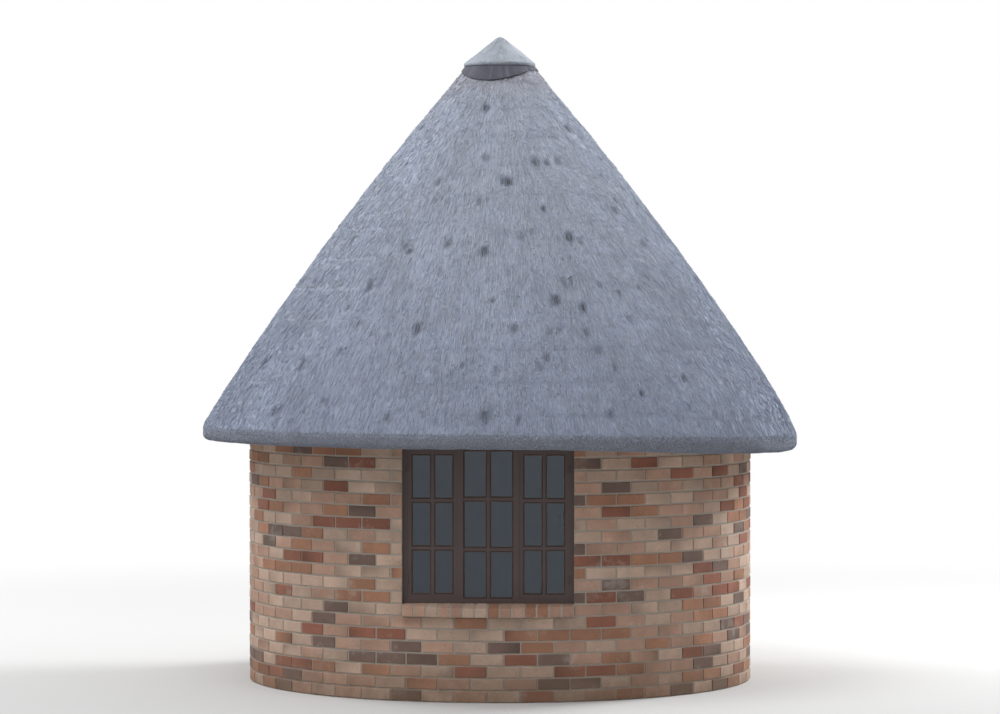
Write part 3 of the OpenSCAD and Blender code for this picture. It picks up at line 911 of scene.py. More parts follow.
@dataclass(frozen=True)
class Swell:
    """Smooth seeded noise over the roof, closed round the hut.

    Attributes:
        cell: Size of its bumps at the eave.
        seed: Seed of its numbers.
        stretch: How many times longer the bumps are down the roof.
        rim_r: Radius at which the bumps have that size.
        rows_for: Distance that its rows cover.
        highest: Distance past which it stays the same.
        below: How far below the eave its rows start.
    """

    cell: float
    seed: int
    stretch: float = 1.0
    rim_r: float = 2.2
    rows_for: float = 4.2
    highest: float = 4.1
    below: float = 0.3

    def at(self, angle: np.ndarray, up: np.ndarray) -> np.ndarray:
        """The noise at places on the roof.

        Args:
            angle: Angle round the hut.
            up: Distance up the roof from the eave.

        Returns:
            Values from -1 to 1.
        """
        around = max(4, round(2 * math.pi * self.rim_r / self.cell))
        rows = math.ceil(self.rows_for / (self.cell * self.stretch)) + 3
        grid = np.random.default_rng(self.seed).uniform(-1, 1, (around, rows))
        x = np.mod(angle / (2 * math.pi), 1.0) * around
        y = np.clip(up + self.below, 0, self.highest) / (self.cell * self.stretch)
        return sampled(grid, x, y)


@dataclass
class RoofForm:
    """The thatch's outer and inner form, by the rules of its solid, and its weathered relief."""

    pitch: float = math.radians(53.6)
    coat_t: float = 0.160
    belly: float = 0.060
    eave_face: float = 0.110
    eave_top_round: float = 0.120
    eave_low_round: float = 0.040
    crown_rise: float = 0.030
    crown_hole_r: float = 0.060
    drop: float = 0.075
    drop_side: float = math.radians(-10)
    drop_spread: float = math.radians(85)
    drop_ease: float = 0.400
    shoulder_w: float = 0.600
    brow_past: float = 0.010
    lath_inset: float = 0.200
    lath_pitch: float = 0.200
    hinge_lath: int = 6
    rafter_d: float = 0.090
    seat_h: float = 0.043
    brow_seat_h: float = 0.027
    bed: float = 0.007
    arc_points: int = 9
    bow_points: int = 60
    bow_start: float = 0.03
    trace_step: float = 0.008
    softened: int = 9
    nose_up: float = 0.15

    def __post_init__(self) -> None:
        """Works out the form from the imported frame."""
        self.slope = math.tan(self.pitch)
        self.wall_r = high("wall_plate", 0)
        self.eave_r = high("thatch", 1)
        self.crown_z = high("thatch", 2)
        self.cap_r = high("ridge_cap", 0)
        self.crown_r = self.cap_r - self.crown_rise / self.slope
        self.eave_top_z = self.crown_z - (self.eave_r - self.crown_r) * self.slope
        self.cut_z = self.eave_top_z - self.eave_face
        coat_v = self.coat_t / math.cos(self.pitch)
        self.under_eave_z = self.eave_top_z - coat_v
        self.cut_r = self.eave_r - (self.cut_z - self.under_eave_z) / self.slope
        self.lath_step = self.lath_pitch * math.cos(self.pitch)
        self.hinge_r = self.eave_r - self.lath_inset - self.hinge_lath * self.lath_step
        self.brow_half = high("door_frame", 0) + FIT + self.brow_past
        self.lift_rate = self._lift_rate()
        self._trace()

    def _lift_rate(self) -> float:
        """How fast the eyebrow rises outwards, from what its poles need over the door's lintel."""
        roof_z = high("wall_plate", 2) - self.seat_h + self.rafter_d / math.cos(self.pitch) + FIT
        need = high("door_lintel", 2) - self.brow_seat_h + FIT - roof_z
        rate, rounds = 0.5, 8
        for _ in range(rounds):
            pole = self.rafter_d * math.hypot(1.0, self.slope - rate)
            rate = (need + pole) / (self.wall_r - self.hinge_r)
        return rate

    def _trace(self) -> None:
        """Traces the outer form in section, from the inner edge of the cut eave up to the crown."""
        kick_len = (self.eave_r - self.cap_r) / math.cos(self.pitch)
        kick = math.atan(4 * self.belly / kick_len)
        turn = np.linspace(-math.pi / 2, 0, self.arc_points)
        low_arc = np.column_stack([
            self.eave_r - self.eave_low_round * (1 - np.cos(turn)),
            self.cut_z + self.eave_low_round * (1 + np.sin(turn))])
        bow_r = self.eave_r - self.eave_top_round * (1 - math.sin(self.pitch))
        bow_z = self.eave_top_z + (self.eave_r - bow_r) * self.slope
        arc_z = bow_z - self.eave_top_round * math.cos(self.pitch)
        turn = np.linspace(0, math.pi / 2 - self.pitch - kick, self.arc_points)
        high_arc = np.column_stack([
            self.eave_r - self.eave_top_round * (1 - np.cos(turn)),
            arc_z + self.eave_top_round * np.sin(turn)])
        share = np.linspace(self.bow_start, 1, self.bow_points)
        out = 4 * self.belly * share * (1 - share)
        reach = bow_r + share * (self.cap_r - bow_r)
        bow = np.column_stack([
            reach + out * math.sin(self.pitch),
            self.eave_top_z + (self.eave_r - reach) * self.slope + out * math.cos(self.pitch)])
        start, end = [[self.cut_r, self.cut_z]], [[self.crown_r, self.crown_z]]
        line = np.concatenate([start, low_arc, high_arc, bow, end])
        step = np.hypot(*np.diff(line, axis=0).T)
        run = np.concatenate([[0.0], np.cumsum(step)])
        even = np.arange(0, run[-1], self.trace_step)
        fine = np.column_stack([np.interp(even, run, line[:, k]) for k in range(2)])
        weights = np.hanning(self.softened)
        for k in range(2):
            padded = np.pad(fine[:, k], self.softened // 2, mode="reflect", reflect_type="odd")
            fine[:, k] = np.convolve(padded, weights / weights.sum(), mode="valid")
        self.brim = run[1]
        self.up = even - self.brim
        self.line_r, self.line_z = fine.T
        tangent = np.gradient(fine, axis=0)
        tangent /= np.hypot(*tangent.T)[:, None]
        self.normal_r, self.normal_z = tangent[:, 1], -tangent[:, 0]
        self.top = self.up[-1]

    def drop_at(self, angle: np.ndarray) -> np.ndarray:
        """How far the eave hangs down on its low side."""
        apart = np.abs(np.mod(angle - self.drop_side + math.pi, 2 * math.pi) - math.pi)
        return self.drop * smooth(1 - apart / self.drop_spread)

    def lift_share(self, angle: np.ndarray) -> np.ndarray:
        """Share of the eyebrow's lift: 1 over the door, 0 past its shoulders."""
        apart = np.abs(np.mod(angle - DOOR_SIDE + math.pi, 2 * math.pi) - math.pi)
        return 1 - smooth((apart * self.eave_r - self.brow_half) / self.shoulder_w)

    def lift(self, radius: np.ndarray) -> np.ndarray:
        """The eyebrow's lift over the door at a radius, eased where it starts."""
        past = radius - self.hinge_r
        eased = self.lift_rate * (past + self.lath_step) ** 2 / (4 * self.lath_step)
        lifted = np.where(past < self.lath_step, eased, self.lift_rate * past)
        return np.where(past < -self.lath_step, 0.0, lifted)

    def outer(self, angle: np.ndarray, up: np.ndarray, out: np.ndarray | float = 0.0) -> np.ndarray:
        """Points on the outer form.

        Args:
            angle: Angle round the hut.
            up: Distance up the roof from the lower edge of the eave.
            out: Distance out from the form, square to it.

        Returns:
            The points, one a row.
        """
        radius = np.interp(up, self.up, self.line_r) + out * np.interp(up, self.up, self.normal_r)
        height = np.interp(up, self.up, self.line_z)
        drop = self.drop_at(angle)
        sunk = drop * (1 - smooth((height - self.cut_z) / self.drop_ease))
        radius = radius + drop / self.slope * np.clip(-up / self.brim, 0, 1)
        lift = self.lift(radius) * self.lift_share(angle)
        height = height + out * np.interp(up, self.up, self.normal_z) - sunk + lift
        return np.stack([radius * np.cos(angle), radius * np.sin(angle), height], axis=-1)

    def inner(self, angle: np.ndarray, radius: np.ndarray, out: np.ndarray | float = 0.0) -> np.ndarray:
        """Points on the inner cone, out above it."""
        height = self.under_eave_z + (self.eave_r - radius) * self.slope + out
        height = height + self.lift(radius) * self.lift_share(angle)
        return np.stack([radius * np.cos(angle), radius * np.sin(angle), height], axis=-1)

    def up_at(self, height: float) -> float:
        """The distance up the roof at a height, away from the eyebrow."""
        above = self.up > self.nose_up
        return float(np.interp(height, self.line_z[above], self.up[above]))


@dataclass(frozen=True)
class Pocket:
    """A small hollow that weather has worn in the thatch, with a raised rim above it; its darkness is
    painted shade and its pale rim a painted highlight.
    """

    angle: float
    up: float
    half_w: float
    half_h: float
    depth: float
    # Strength of the painted shade in the hollow
    dark: float


@dataclass
class Thatch:
    """The coat of thatch: its body, its grass, its dressed eave and its weathered pockets."""

    form: RoofForm
    columns: int = 416
    grass_count: int = 150_000
    end_count: int = 46_000
    nose: float = 0.26
    cut_top: float = 0.12
    crown_ease: float = 0.15
    # Share of its tint that the coat under the grass keeps: painted shade between the stalks
    coat_painted_shade: float = 0.85
    inner_sag: float = 0.003
    grass_len: tuple[float, float] = (0.08, 0.16)
    grass_w: tuple[float, float] = (0.0018, 0.0032)
    grass_proud: tuple[float, float] = (0.0005, 0.0030)
    stray_proud: float = 0.005
    stray: float = 0.035
    buried: float = 0.006
    open_share: float = 0.20
    look_ahead: tuple[float, ...] = (0.12, 0.09, 0.06, 0.03)
    end_w: tuple[float, float] = (0.0022, 0.0036)
    end_proud: tuple[float, float] = (0.0005, 0.0045)
    end_len: float = 0.06
    end_top: float = 0.14
    # Painted shade on the cut ends under the brim of the eave
    under_shade: float = 0.35
    end_tone: Colour = (1.03, 1.0, 0.94)
    warm_tone: Colour = (0.10, 0.03, -0.10)
    # The blue cast of the thatch colours is painted sky light; the weathered grass itself is grey
    low_colour: Colour = seen(149, 158, 178)
    high_colour: Colour = seen(165, 173, 190)
    top_colour: Colour = seen(165, 168, 180)
    # Colour of the painted shade in the pockets and along the course steps
    pocket_shade_colour: Colour = seen(78, 81, 94)
    row_step: float = 0.36
    row_gap: float = 0.36
    course_step: float = 0.27
    course_rise: float = 0.0050
    # Strength of the painted shade along the step of each course
    course_painted_shade: float = 0.13
    map_step: float = 0.010
    map_margin: float = 0.25
    # Pockets that stand out at the front: degrees round the hut, and height
    marks: tuple[tuple[int, float], ...] = (
        (-99, 4.20), (-115, 3.65), (-84, 3.65), (-39, 3.45), (-71, 3.45), (-64, 3.25), (-104, 3.20),
        (-92, 3.15), (-116, 3.15), (-125, 2.90), (-54, 2.85), (-73, 2.80), (-89, 2.80), (-129, 2.75),
        (-66, 2.75), (-107, 2.60), (-84, 2.60), (-164, 2.45), (-65, 2.45), (-125, 2.45), (-77, 2.40),
        (-95, 2.35), (-135, 2.35), (-46, 2.25), (-58, 2.15), (-124, 2.10), (-135, 2.05), (-48, 2.05),
        (-66, 2.02), (-90, 2.00), (-109, 2.00))

    def __post_init__(self) -> None:
        """Chooses the pockets and the noise."""
        self.swells = (
            (Swell(0.80, 11), 0.0035), (Swell(0.34, 12), 0.0025), (Swell(0.11, 13), 0.0025))
        self.tones = ((Swell(0.70, 21), 0.06), (Swell(0.20, 22, 1.4), 0.05))
        self.courses = (Swell(0.55, 26), Swell(0.9, 27))
        # Dents of the pockets, and their painted shade and highlight
        self.hollows, self.darkness = self._pocket_map()

    def _pockets(self) -> list[Pocket]:
        """The pockets that the picture shows, and others in rough rows all round."""
        rng = np.random.default_rng(31)
        pockets = []
        for angle, height in self.marks:
            size = rng.uniform(0.017, 0.036)
            pockets.append(Pocket(
                math.radians(angle), self.form.up_at(height), size, size * rng.uniform(1.2, 1.8),
                rng.uniform(0.009, 0.016), rng.uniform(0.40, 0.90)))
        for up in np.arange(0.30, self.form.top - 0.25, self.row_step):
            reach = float(np.interp(up, self.form.up, self.form.line_r))
            count = max(3, int(2 * math.pi * reach / self.row_gap))
            for k in range(count):
                angle = (k + rng.uniform(-0.4, 0.4)) * 2 * math.pi / count
                chosen = rng.uniform(0, 1, 4)
                if chosen[0] < 0.75:
                    pocket = Pocket(
                        angle, up + rng.uniform(-0.06, 0.06), 0.013 + 0.020 * chosen[1],
                        0.020 + 0.026 * chosen[2], 0.005 + 0.008 * chosen[3],
                        0.18 + 0.60 * chosen[1] * chosen[2])
                    pockets.append(pocket)
                    if chosen[3] > 0.6:
                        aside = rng.uniform(0.05, 0.09) / reach
                        pockets.append(replace(
                            pocket, angle=angle + aside, up=pocket.up + rng.uniform(-0.03, 0.03),
                            half_w=0.6 * pocket.half_w, half_h=0.7 * pocket.half_h))
        return pockets

    def _pocket_map(self) -> tuple[np.ndarray, np.ndarray]:
        """Lays the pockets out on a grid.

        Returns:
            The height that they give the face, and the painted shade that they lay on it, below 0 for a
            painted highlight on a pale rim.
        """
        around = round(2 * math.pi * self.form.eave_r / self.map_step)
        rows = math.ceil((self.form.top + 2 * self.map_margin) / self.map_step) + 2
        height, dark = np.zeros((around, rows)), np.zeros((around, rows))
        ups = np.arange(rows) * self.map_step - self.map_margin
        angles = np.arange(around) * 2 * math.pi / around
        rims = np.interp(ups, self.form.up, self.form.line_r)
        edges = Swell(0.022, 25)
        for pocket in self._pockets():
            j = np.flatnonzero(np.abs(ups - pocket.up) < 3 * pocket.half_h)
            aside = np.mod(angles - pocket.angle + math.pi, 2 * math.pi) - math.pi
            i = np.flatnonzero(np.abs(aside) * rims[j].min() < 3 * pocket.half_w)
            across = aside[i, None] * rims[j] / pocket.half_w
            along = np.broadcast_to((ups[j] - pocket.up) / pocket.half_h, across.shape)
            place = np.ix_(i, j)
            ragged = 1 + 0.9 * edges.at(np.broadcast_to(angles[i, None], across.shape),
                                        np.broadcast_to(ups[j], across.shape))
            hollow = np.exp(-(across ** 2 + along ** 2) ** 1.6 * ragged)
            rim = np.exp(-(across ** 2 + (along - 1.5) ** 2 * 3))
            height[place] += pocket.depth * (0.35 * rim - hollow)
            # Painted shade in the hollow, and a painted highlight on the rim above it
            dark[place] = np.maximum(dark[place], pocket.dark * hollow) - 0.25 * pocket.dark * rim
        return height, dark

    def relief(self, angle: np.ndarray, up: np.ndarray) -> tuple[np.ndarray, np.ndarray]:
        """How the weathered face lies, and how much painted shade it has.

        Args:
            angle: Angle round the hut.
            up: Distance up the roof.

        Returns:
            The height of the face over its bed, and the painted shade of the pockets and course steps from
            0 to 1. A negative value is a painted highlight on a pale rim.
        """
        x = np.mod(angle / (2 * math.pi), 1.0) * len(self.hollows)
        held = np.clip(up, -self.map_margin, self.form.top + self.map_margin)
        y = (held + self.map_margin) / self.map_step
        height = sampled(self.hollows, x, y)
        for swell, size in self.swells:
            height += size * swell.at(angle, up)
        step, strength = self._course(angle, up)
        height += self.course_rise * strength * (1 - step)
        # Painted shade along the step of each course, where the course still shows
        edge = smooth(1 - step / 0.16) * smooth(step / 0.05)
        return height, sampled(self.darkness, x, y) + self.course_painted_shade * strength * edge

    def _course(self, angle: np.ndarray, up: np.ndarray) -> tuple[np.ndarray, np.ndarray]:
        """The course of thatch that each place is in, wavy and worn away in places.

        Args:
            angle: Angle round the hut.
            up: Distance up the roof.

        Returns:
            The share of the course below the place, and how much of the course still shows.
        """
        wave, worn = self.courses
        step = np.mod(up / self.course_step + 0.12 * wave.at(angle, up * 0), 1.0)
        return step, smooth(0.5 + 1.2 * worn.at(angle, up)) * smooth(up / 0.3)

    def tint(self, angle: np.ndarray, up: np.ndarray, dark: np.ndarray) -> np.ndarray:
        """Colour of the grass at places on the roof.

        Args:
            angle: Angle round the hut.
            up: Distance up the roof.
            dark: Painted shade of the pockets and course steps there, below 0 a painted highlight.

        Returns:
            The colours, one a row.
        """
        share = smooth(up / (0.75 * self.form.top))[:, None]
        colour = np.array(self.low_colour) * (1 - share) + np.array(self.high_colour) * share
        top = smooth((up - self.form.top + 0.45) / 0.35)[:, None]
        colour = colour * (1 - top) + np.array(self.top_colour) * top
        tone = np.ones(len(angle))
        for swell, size in self.tones:
            tone += size * swell.at(angle, up)
        colour = colour * tone[:, None]
        # Painted shade towards the pocket shade colour, and a painted highlight on the pale rims
        shade = np.clip(dark, 0, 1)[:, None]
        colour = colour * (1 - shade) + np.array(self.pocket_shade_colour) * shade
        return colour * (1 + np.clip(-dark, 0, 1))[:, None]

    def build(self, outer: bpy.types.Material, inner: bpy.types.Material, cut: bpy.types.Material,
              grass: bpy.types.Material) -> None:
        """Builds the coat and lays the grass on it."""
        self._coat(outer, inner, cut)
        self._grass(grass)
        self._ends(grass)

    @staticmethod
    def _trimmed(points: np.ndarray) -> np.ndarray:
        """Holds points, one a row, inside the line that the eave is dressed to."""
        reach = np.hypot(points[:, 0], points[:, 1])
        held = points.copy()
        held[:, :2] *= np.minimum(1.0, (high("thatch", 0) - FIT) / reach)[:, None]
        return held

    def _coat(self, outer: bpy.types.Material, inner: bpy.types.Material, cut: bpy.types.Material) -> None:
        """The closed body of the thatch, outside, crown and inside."""
        form = self.form
        angles = np.arange(self.columns) * 2 * math.pi / self.columns
        edge, slope = np.linspace(-form.brim, self.nose, 20), np.linspace(self.nose, form.top, 130)
        levels = np.concatenate([edge, slope[1:]])
        rows, tints, finish = [], [], []
        for level in levels:
            up = np.full(self.columns, level)
            height, dark = self.relief(angles, up)
            settled = smooth(np.full(self.columns, (form.top - level) / self.crown_ease))
            rows.append(form.outer(angles, up, (height - form.bed) * settled))
            # The coat is darkened by a share: painted shade between the stalks
            tints.append(self.tint(angles, up, dark) * self.coat_painted_shade)
            finish.append(2 if level < self.cut_top else 0)
        rows.append(form.inner(angles, np.full(self.columns, form.crown_hole_r)))
        rows[-1][:, 2] = form.crown_z
        tints.append(tints[-1])
        finish[-1] = 1
        finish.append(1)
        sag = Swell(0.12, 41, 2.0)
        for radius in np.linspace(form.crown_hole_r, form.cut_r, 26)[:-1]:
            out = self.inner_sag * (1 + sag.at(angles, np.full(self.columns, radius)))
            rows.append(form.inner(angles, np.full(self.columns, radius), out))
            tints.append(tints[-1])
            finish.append(1)
        count = len(rows)
        index = np.arange(count * self.columns).reshape(count, self.columns)
        below, above = index, np.roll(index, -1, axis=0)
        quads = np.stack([below, np.roll(below, -1, axis=1), np.roll(above, -1, axis=1), above], axis=-1)
        pile = Pile()
        points = self._trimmed(np.concatenate(rows))
        pile.add(points, [quads[k] for k in range(count)], np.concatenate(tints))
        pile.finish = [np.full(self.columns, kind) for kind in finish]
        piece = pile.build("thatch_coat", [outer, inner, cut], "thatch", rounded=True)
        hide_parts("thatch")

    def _spikes(self, butts: np.ndarray, tips: np.ndarray, normal: np.ndarray, width: np.ndarray,
                tint: np.ndarray, turn: np.ndarray) -> tuple[np.ndarray, np.ndarray, np.ndarray]:
        """Closed stalks of four triangles: a three-cornered butt that shows, and a buried tip.

        Args:
            butts: Middle of each butt.
            tips: Buried end of each stalk.
            normal: Direction out of the roof at each.
            width: Radius of each butt.
            tint: Colour of each.
            turn: Angle that each butt is turned.

        Returns:
            The points, the faces and the points' colours.
        """
        along = butts - tips
        along /= np.linalg.norm(along, axis=1, keepdims=True)
        side = np.cross(normal, along)
        side /= np.linalg.norm(side, axis=1, keepdims=True)
        rise = np.cross(along, side)
        corners = []
        for k in range(3):
            around = (turn + k * 2 * math.pi / 3)[:, None]
            corners.append(butts + width[:, None] * (np.cos(around) * side + np.sin(around) * rise))
        points = np.stack([*corners, tips], axis=1).reshape(-1, 3)
        pattern = np.array([[0, 1, 2], [1, 0, 3], [2, 1, 3], [0, 2, 3]])
        faces = (np.arange(len(butts))[:, None, None] * 4 + pattern).reshape(-1, 3)
        return points, faces, np.repeat(tint, 4, axis=0)

    def _grass(self, material: bpy.types.Material) -> None:
        """Lays the grass over the coat in four quarters, with the butts downwards."""
        form = self.form
        rng = np.random.default_rng(51)
        levels = np.linspace(0.10, form.top - 0.03, 400)
        weight = np.cumsum(np.interp(levels, form.up, form.line_r))
        for quarter, name in enumerate(("right", "back", "left", "front")):
            count = self.grass_count // 4
            angle = (quarter - 0.5 + rng.uniform(0, 1, count)) * math.pi / 2
            up = np.interp(rng.uniform(0, 1, count), weight / weight[-1], levels)
            length = rng.uniform(*self.grass_len, count)
            height, dark = self.relief(angle, up)
            length = self._short_of_pockets(angle, up, length, dark)
            settled = smooth((form.top - up) / self.crown_ease)
            raised = rng.uniform(*self.grass_proud, count)
            raised = raised + self.stray_proud * rng.uniform(0, 1, count) ** 8
            butts = form.outer(angle, up, (height - form.bed) * settled + raised)
            behind = up + length
            spread = rng.normal(0, self.stray, count) * length / np.interp(behind, form.up, form.line_r)
            tips = form.outer(angle + spread, np.minimum(behind, form.top),
                              np.full(count, -form.bed - self.buried))
            past = np.maximum(behind - form.top, 0)[:, None]
            inwards = np.stack([-np.cos(angle) * 0.6, -np.sin(angle) * 0.6, np.full(count, -0.2)], axis=-1)
            tips += past * inwards
            lean = np.interp(up, form.up, form.normal_r)
            normal = np.stack([lean * np.cos(angle), lean * np.sin(angle),
                               np.interp(up, form.up, form.normal_z)], axis=-1)
            tint = self.tint(angle, up, dark) * np.clip(rng.normal(1.0, 0.07, count), 0.6, 1.5)[:, None]
            warm = rng.uniform(0, 1, count)[:, None] ** 3
            tint = tint * (1 + warm * np.array(self.warm_tone))
            points, faces, tints = self._spikes(
                butts, tips, normal, rng.uniform(*self.grass_w, count), tint, rng.uniform(0, 2, count))
            pile = Pile()
            pile.add(self._trimmed(points), [faces], tints)
            pile.build("thatch_grass_" + name, [material], "thatch")

    def _short_of_pockets(self, angle: np.ndarray, up: np.ndarray, length: np.ndarray,
                          dark: np.ndarray) -> np.ndarray:
        """Shortens the stalks that would cross a pocket, so that it stays open.

        Args:
            angle: Angle of each butt.
            up: Distance of each butt up the roof.
            length: Length of each stalk.
            dark: Painted shade of the pockets at each butt.

        Returns:
            The lengths.
        """
        kept = length.copy()
        for ahead in self.look_ahead:
            _, farther = self.relief(angle, up + ahead)
            kept = np.where((farther > self.open_share) & (dark < self.open_share), ahead, kept)
        return kept

    def _ends(self, material: bpy.types.Material) -> None:
        """The cut ends of the stalks, in the nose and under the brim of the eave."""
        form = self.form
        rng = np.random.default_rng(61)
        count = self.end_count
        angle = rng.uniform(0, 2 * math.pi, count)
        up = rng.uniform(-form.brim, self.end_top, count)
        height, dark = self.relief(angle, up)
        local = np.arctan(form.slope - form.lift_rate * form.lift_share(angle))
        inward = np.stack([
            -np.cos(local) * np.cos(angle), -np.cos(local) * np.sin(angle), np.sin(local)], axis=-1)
        face = form.outer(angle, up, height - form.bed)
        butts = face - inward * rng.uniform(*self.end_proud, count)[:, None]
        tips = butts + inward * self.end_len
        level = np.sin(local)
        normal = np.stack([level * np.cos(angle), level * np.sin(angle), np.cos(local)], axis=-1)
        # Cut ends under the brim are darkened: painted shade
        under = smooth(1 - (up + form.brim) / (form.brim + 0.05))
        tone = (np.clip(rng.normal(1.00, 0.09, count), 0.6, 1.3) * (1 - self.under_shade * under))[:, None]
        tint = self.tint(angle, up, dark) * tone * np.array(self.end_tone)
        points, faces, tints = self._spikes(
            butts, tips, normal, rng.uniform(*self.end_w, count), tint, rng.uniform(0, 2, count))
        pile = Pile()
        pile.add(self._trimmed(points), [faces], tints)
        pile.build("thatch_eave_ends", [material], "thatch")


@dataclass
class Cap:
    """The trowelled mortar cap on the top of the thatch."""

    columns: int = 144
    rows: int = 34
    rim: float = 0.026
    tip: float = 0.12
    rough: float = 0.010
    # Shares of its radius and its rim, up its edge
    edge: tuple[tuple[float, float], ...] = (
        (0.6, 0.0), (0.94, 0.0), (0.985, 0.12), (1.0, 0.45), (1.0, 0.8))

    def build(self, material: bpy.types.Material) -> None:
        """Builds the cap in place of its plain solid."""
        base, top, reach = low("ridge_cap", 2), high("ridge_cap", 2), high("ridge_cap", 0)
        share = 1 - np.linspace(0, 0.97, self.rows) ** 0.9
        rounded = np.sqrt(share ** 2 + self.tip ** 2) - self.tip
        dome = 1 - rounded / (math.sqrt(1 + self.tip ** 2) - self.tip)
        edge_r, edge_z = np.array(self.edge).T
        dome_z = base + self.rim + (top - base - self.rim) * dome
        radius = np.concatenate([edge_r * reach, share * reach * 0.997])
        height = np.concatenate([[base], base + edge_z * self.rim, dome_z, [top]])
        angles = np.arange(self.columns) * 2 * math.pi / self.columns
        grid_a, grid_r = np.meshgrid(angles, radius)
        dent = 0.5 * self.rough * (1 + Swell(1.1, 71).at(grid_a, grid_r * 4))
        dent += 0.5 * self.rough * (1 + Swell(0.45, 72).at(grid_a, grid_r * 6))
        dent *= smooth(grid_r / (0.3 * reach))
        points, faces = lathe(radius, height, self.columns, dent)
        pile = Pile()
        pile.add(points, faces)
        piece = pile.build("mortar_cap", [material], "cap_mortar", rounded=True)
        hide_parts("ridge_cap")


# Walls


@dataclass
class Opening:
    """A gap in the brickwork: the side it is on, its half width and its heights."""

    side: float
    half_w: float
    bottom: float
    top: float


@dataclass
class Brickwork:
    """Face bricks in stretcher bond over the wall, a little proud of their mortar."""

    wall_r: float
    form: RoofForm
    around: int = 50
    course_h: float = 0.085
    joint: float = 0.011
    proud: float = 0.0035
    depth: float = 0.100
    chamfer: float = 0.004
    shortest: float = 0.060
    rake_drop: float = 0.040
    flashed_share: float = 0.35
    flash: float = 0.16
    length_play: float = 0.001
    height_play: float = 0.0012
    corner_play: float = 0.0007
    face_play: float = 0.0008
    tilt: float = 0.003
    sill_bricks: int = 14
    sill_fall: float = 0.025
    sill_past: float = 0.004
    sill_gap: float = 0.002
    # Colours of the bricks and how often each comes
    mixture: tuple[tuple[Colour, float], ...] = (
        (seen(190, 164, 146), 0.36), (seen(180, 146, 127), 0.28), (seen(166, 122, 98), 0.14),
        (seen(146, 97, 80), 0.11), (seen(118, 98, 89), 0.11))

    def __post_init__(self) -> None:
        """Finds the openings in the frame."""
        sill_low = low("window_sill", 2)
        window_head = low("window_lintel", 2)
        door_head = low("door_lintel", 2)
        self.wall_top = low("wall_plate", 2)
        self.openings = (
            Opening(FRONT, high("window_frame", 0) + FIT, sill_low, window_head),
            Opening(FRONT, high("window_lintel", 0), window_head, high("window_lintel", 2)),
            Opening(DOOR_SIDE, high("door_frame", 0) + FIT, 0.0, door_head),
            Opening(DOOR_SIDE, high("door_lintel", 0), door_head, high("door_lintel", 2)))
        self.rake_end = high("wall_back_right", 0)

    def _edges(self, course: int) -> list[tuple[float, float, Opening | None, Opening | None]]:
        """Angles of the bricks in a course, with the opening that each ends at, if it does."""
        pitch = 2 * math.pi / self.around
        joints = [FRONT + (k + 0.5 * (course % 2)) * pitch for k in range(self.around)]
        middle = (course + 0.5) * self.course_h
        open_here = [o for o in self.openings if o.bottom < middle < o.top]
        spans = []
        for k, gap in enumerate(open_here):
            after = open_here[(k + 1) % len(open_here)]
            start = gap.side + math.asin(gap.half_w / self.wall_r)
            end = after.side - math.asin(after.half_w / self.wall_r)
            spans.append((start, end if end > start else end + 2 * math.pi, gap, after))
        if not open_here:
            return [(a, a + pitch, None, None) for a in joints]
        bricks = []
        least = self.shortest / self.wall_r
        for start, end, gap, after in spans:
            inside = sorted(start + (a - start) % (2 * math.pi) for a in joints)
            inside = [a for a in inside if start + least < a < end - least]
            edges = [start, *inside, end]
            for k in range(len(edges) - 1):
                bricks.append((edges[k], edges[k + 1], gap if k == 0 else None,
                               after if k == len(edges) - 2 else None))
        return bricks

    def _rake(self, reach: float) -> float:
        """Height of the raised brickwork beside the door at a distance from the middle of the door."""
        form = self.form
        start, top = high("door_lintel", 0), high("door_lintel", 2)
        roof_z = high("wall_plate", 2) - form.seat_h + form.rafter_d / math.cos(form.pitch) + FIT
        end_angle = math.asin(self.rake_end / self.wall_r)
        share = float(form.lift_share(np.array(DOOR_SIDE + end_angle)))
        lift = form.lift_rate * (self.wall_r - form.hinge_r) * share
        bottom = roof_z + lift - self.rake_drop
        return top + (bottom - top) * (reach - start) / (self.rake_end - start)

    def _brick(self, rng: np.random.Generator, start: float, end: float, base: float) -> np.ndarray:
        """Points of one brick from one angle to another, standing on a height."""
        middle = (start + end) / 2
        chord = 2 * self.wall_r * math.sin((end - start) / 2)
        length = chord - self.joint + rng.uniform(-self.length_play, self.length_play)
        height = self.course_h - self.joint + rng.uniform(-self.height_play, self.height_play)
        points, _ = chamfered_box((length, self.depth, height), self.chamfer)
        points = points + rng.uniform(-self.corner_play, self.corner_play, points.shape)
        points[:, 2] += points[:, 0] * rng.normal(0, self.tilt)
        points[:, 1] += rng.uniform(-self.face_play, self.face_play)
        reach = self.wall_r + self.proud - self.depth / 2
        out = np.array([math.cos(middle), math.sin(middle), 0.0])
        along = np.array([math.sin(middle), -math.cos(middle), 0.0])
        centre = base + self.course_h / 2
        return points[:, :1] * along + (reach + points[:, 1:2]) * out + (centre + points[:, 2:]) * [0, 0, 1]

    def _flash(self, rng: np.random.Generator, count: int) -> np.ndarray:
        """Shades that the kiln left on the points of one brick, one a row: a darker end or edge."""
        corners = [[x, y, z] for x in (-1, 1) for y in (-1, 1) for z in (-1, 1)]
        signs = np.repeat(corners, count // len(corners), axis=0)
        strength = np.where(rng.uniform() < self.flashed_share, self.flash, self.flash / 4)
        lean = rng.normal(0, 1, 3) * [1.0, 0.2, 0.5]
        return np.clip(1 + strength * signs @ lean, 0.62, 1.2)[:, None]

    def _squared(self, points: np.ndarray, gap: Opening | None) -> np.ndarray:
        """Cuts a brick's end flush with the jamb of an opening."""
        if gap is None:
            return points
        right = points[:, 0].mean() > 0
        limit = gap.half_w if right else -gap.half_w
        clamp = np.maximum if right else np.minimum
        moved = points.copy()
        moved[:, 0] = clamp(points[:, 0], limit)
        return moved

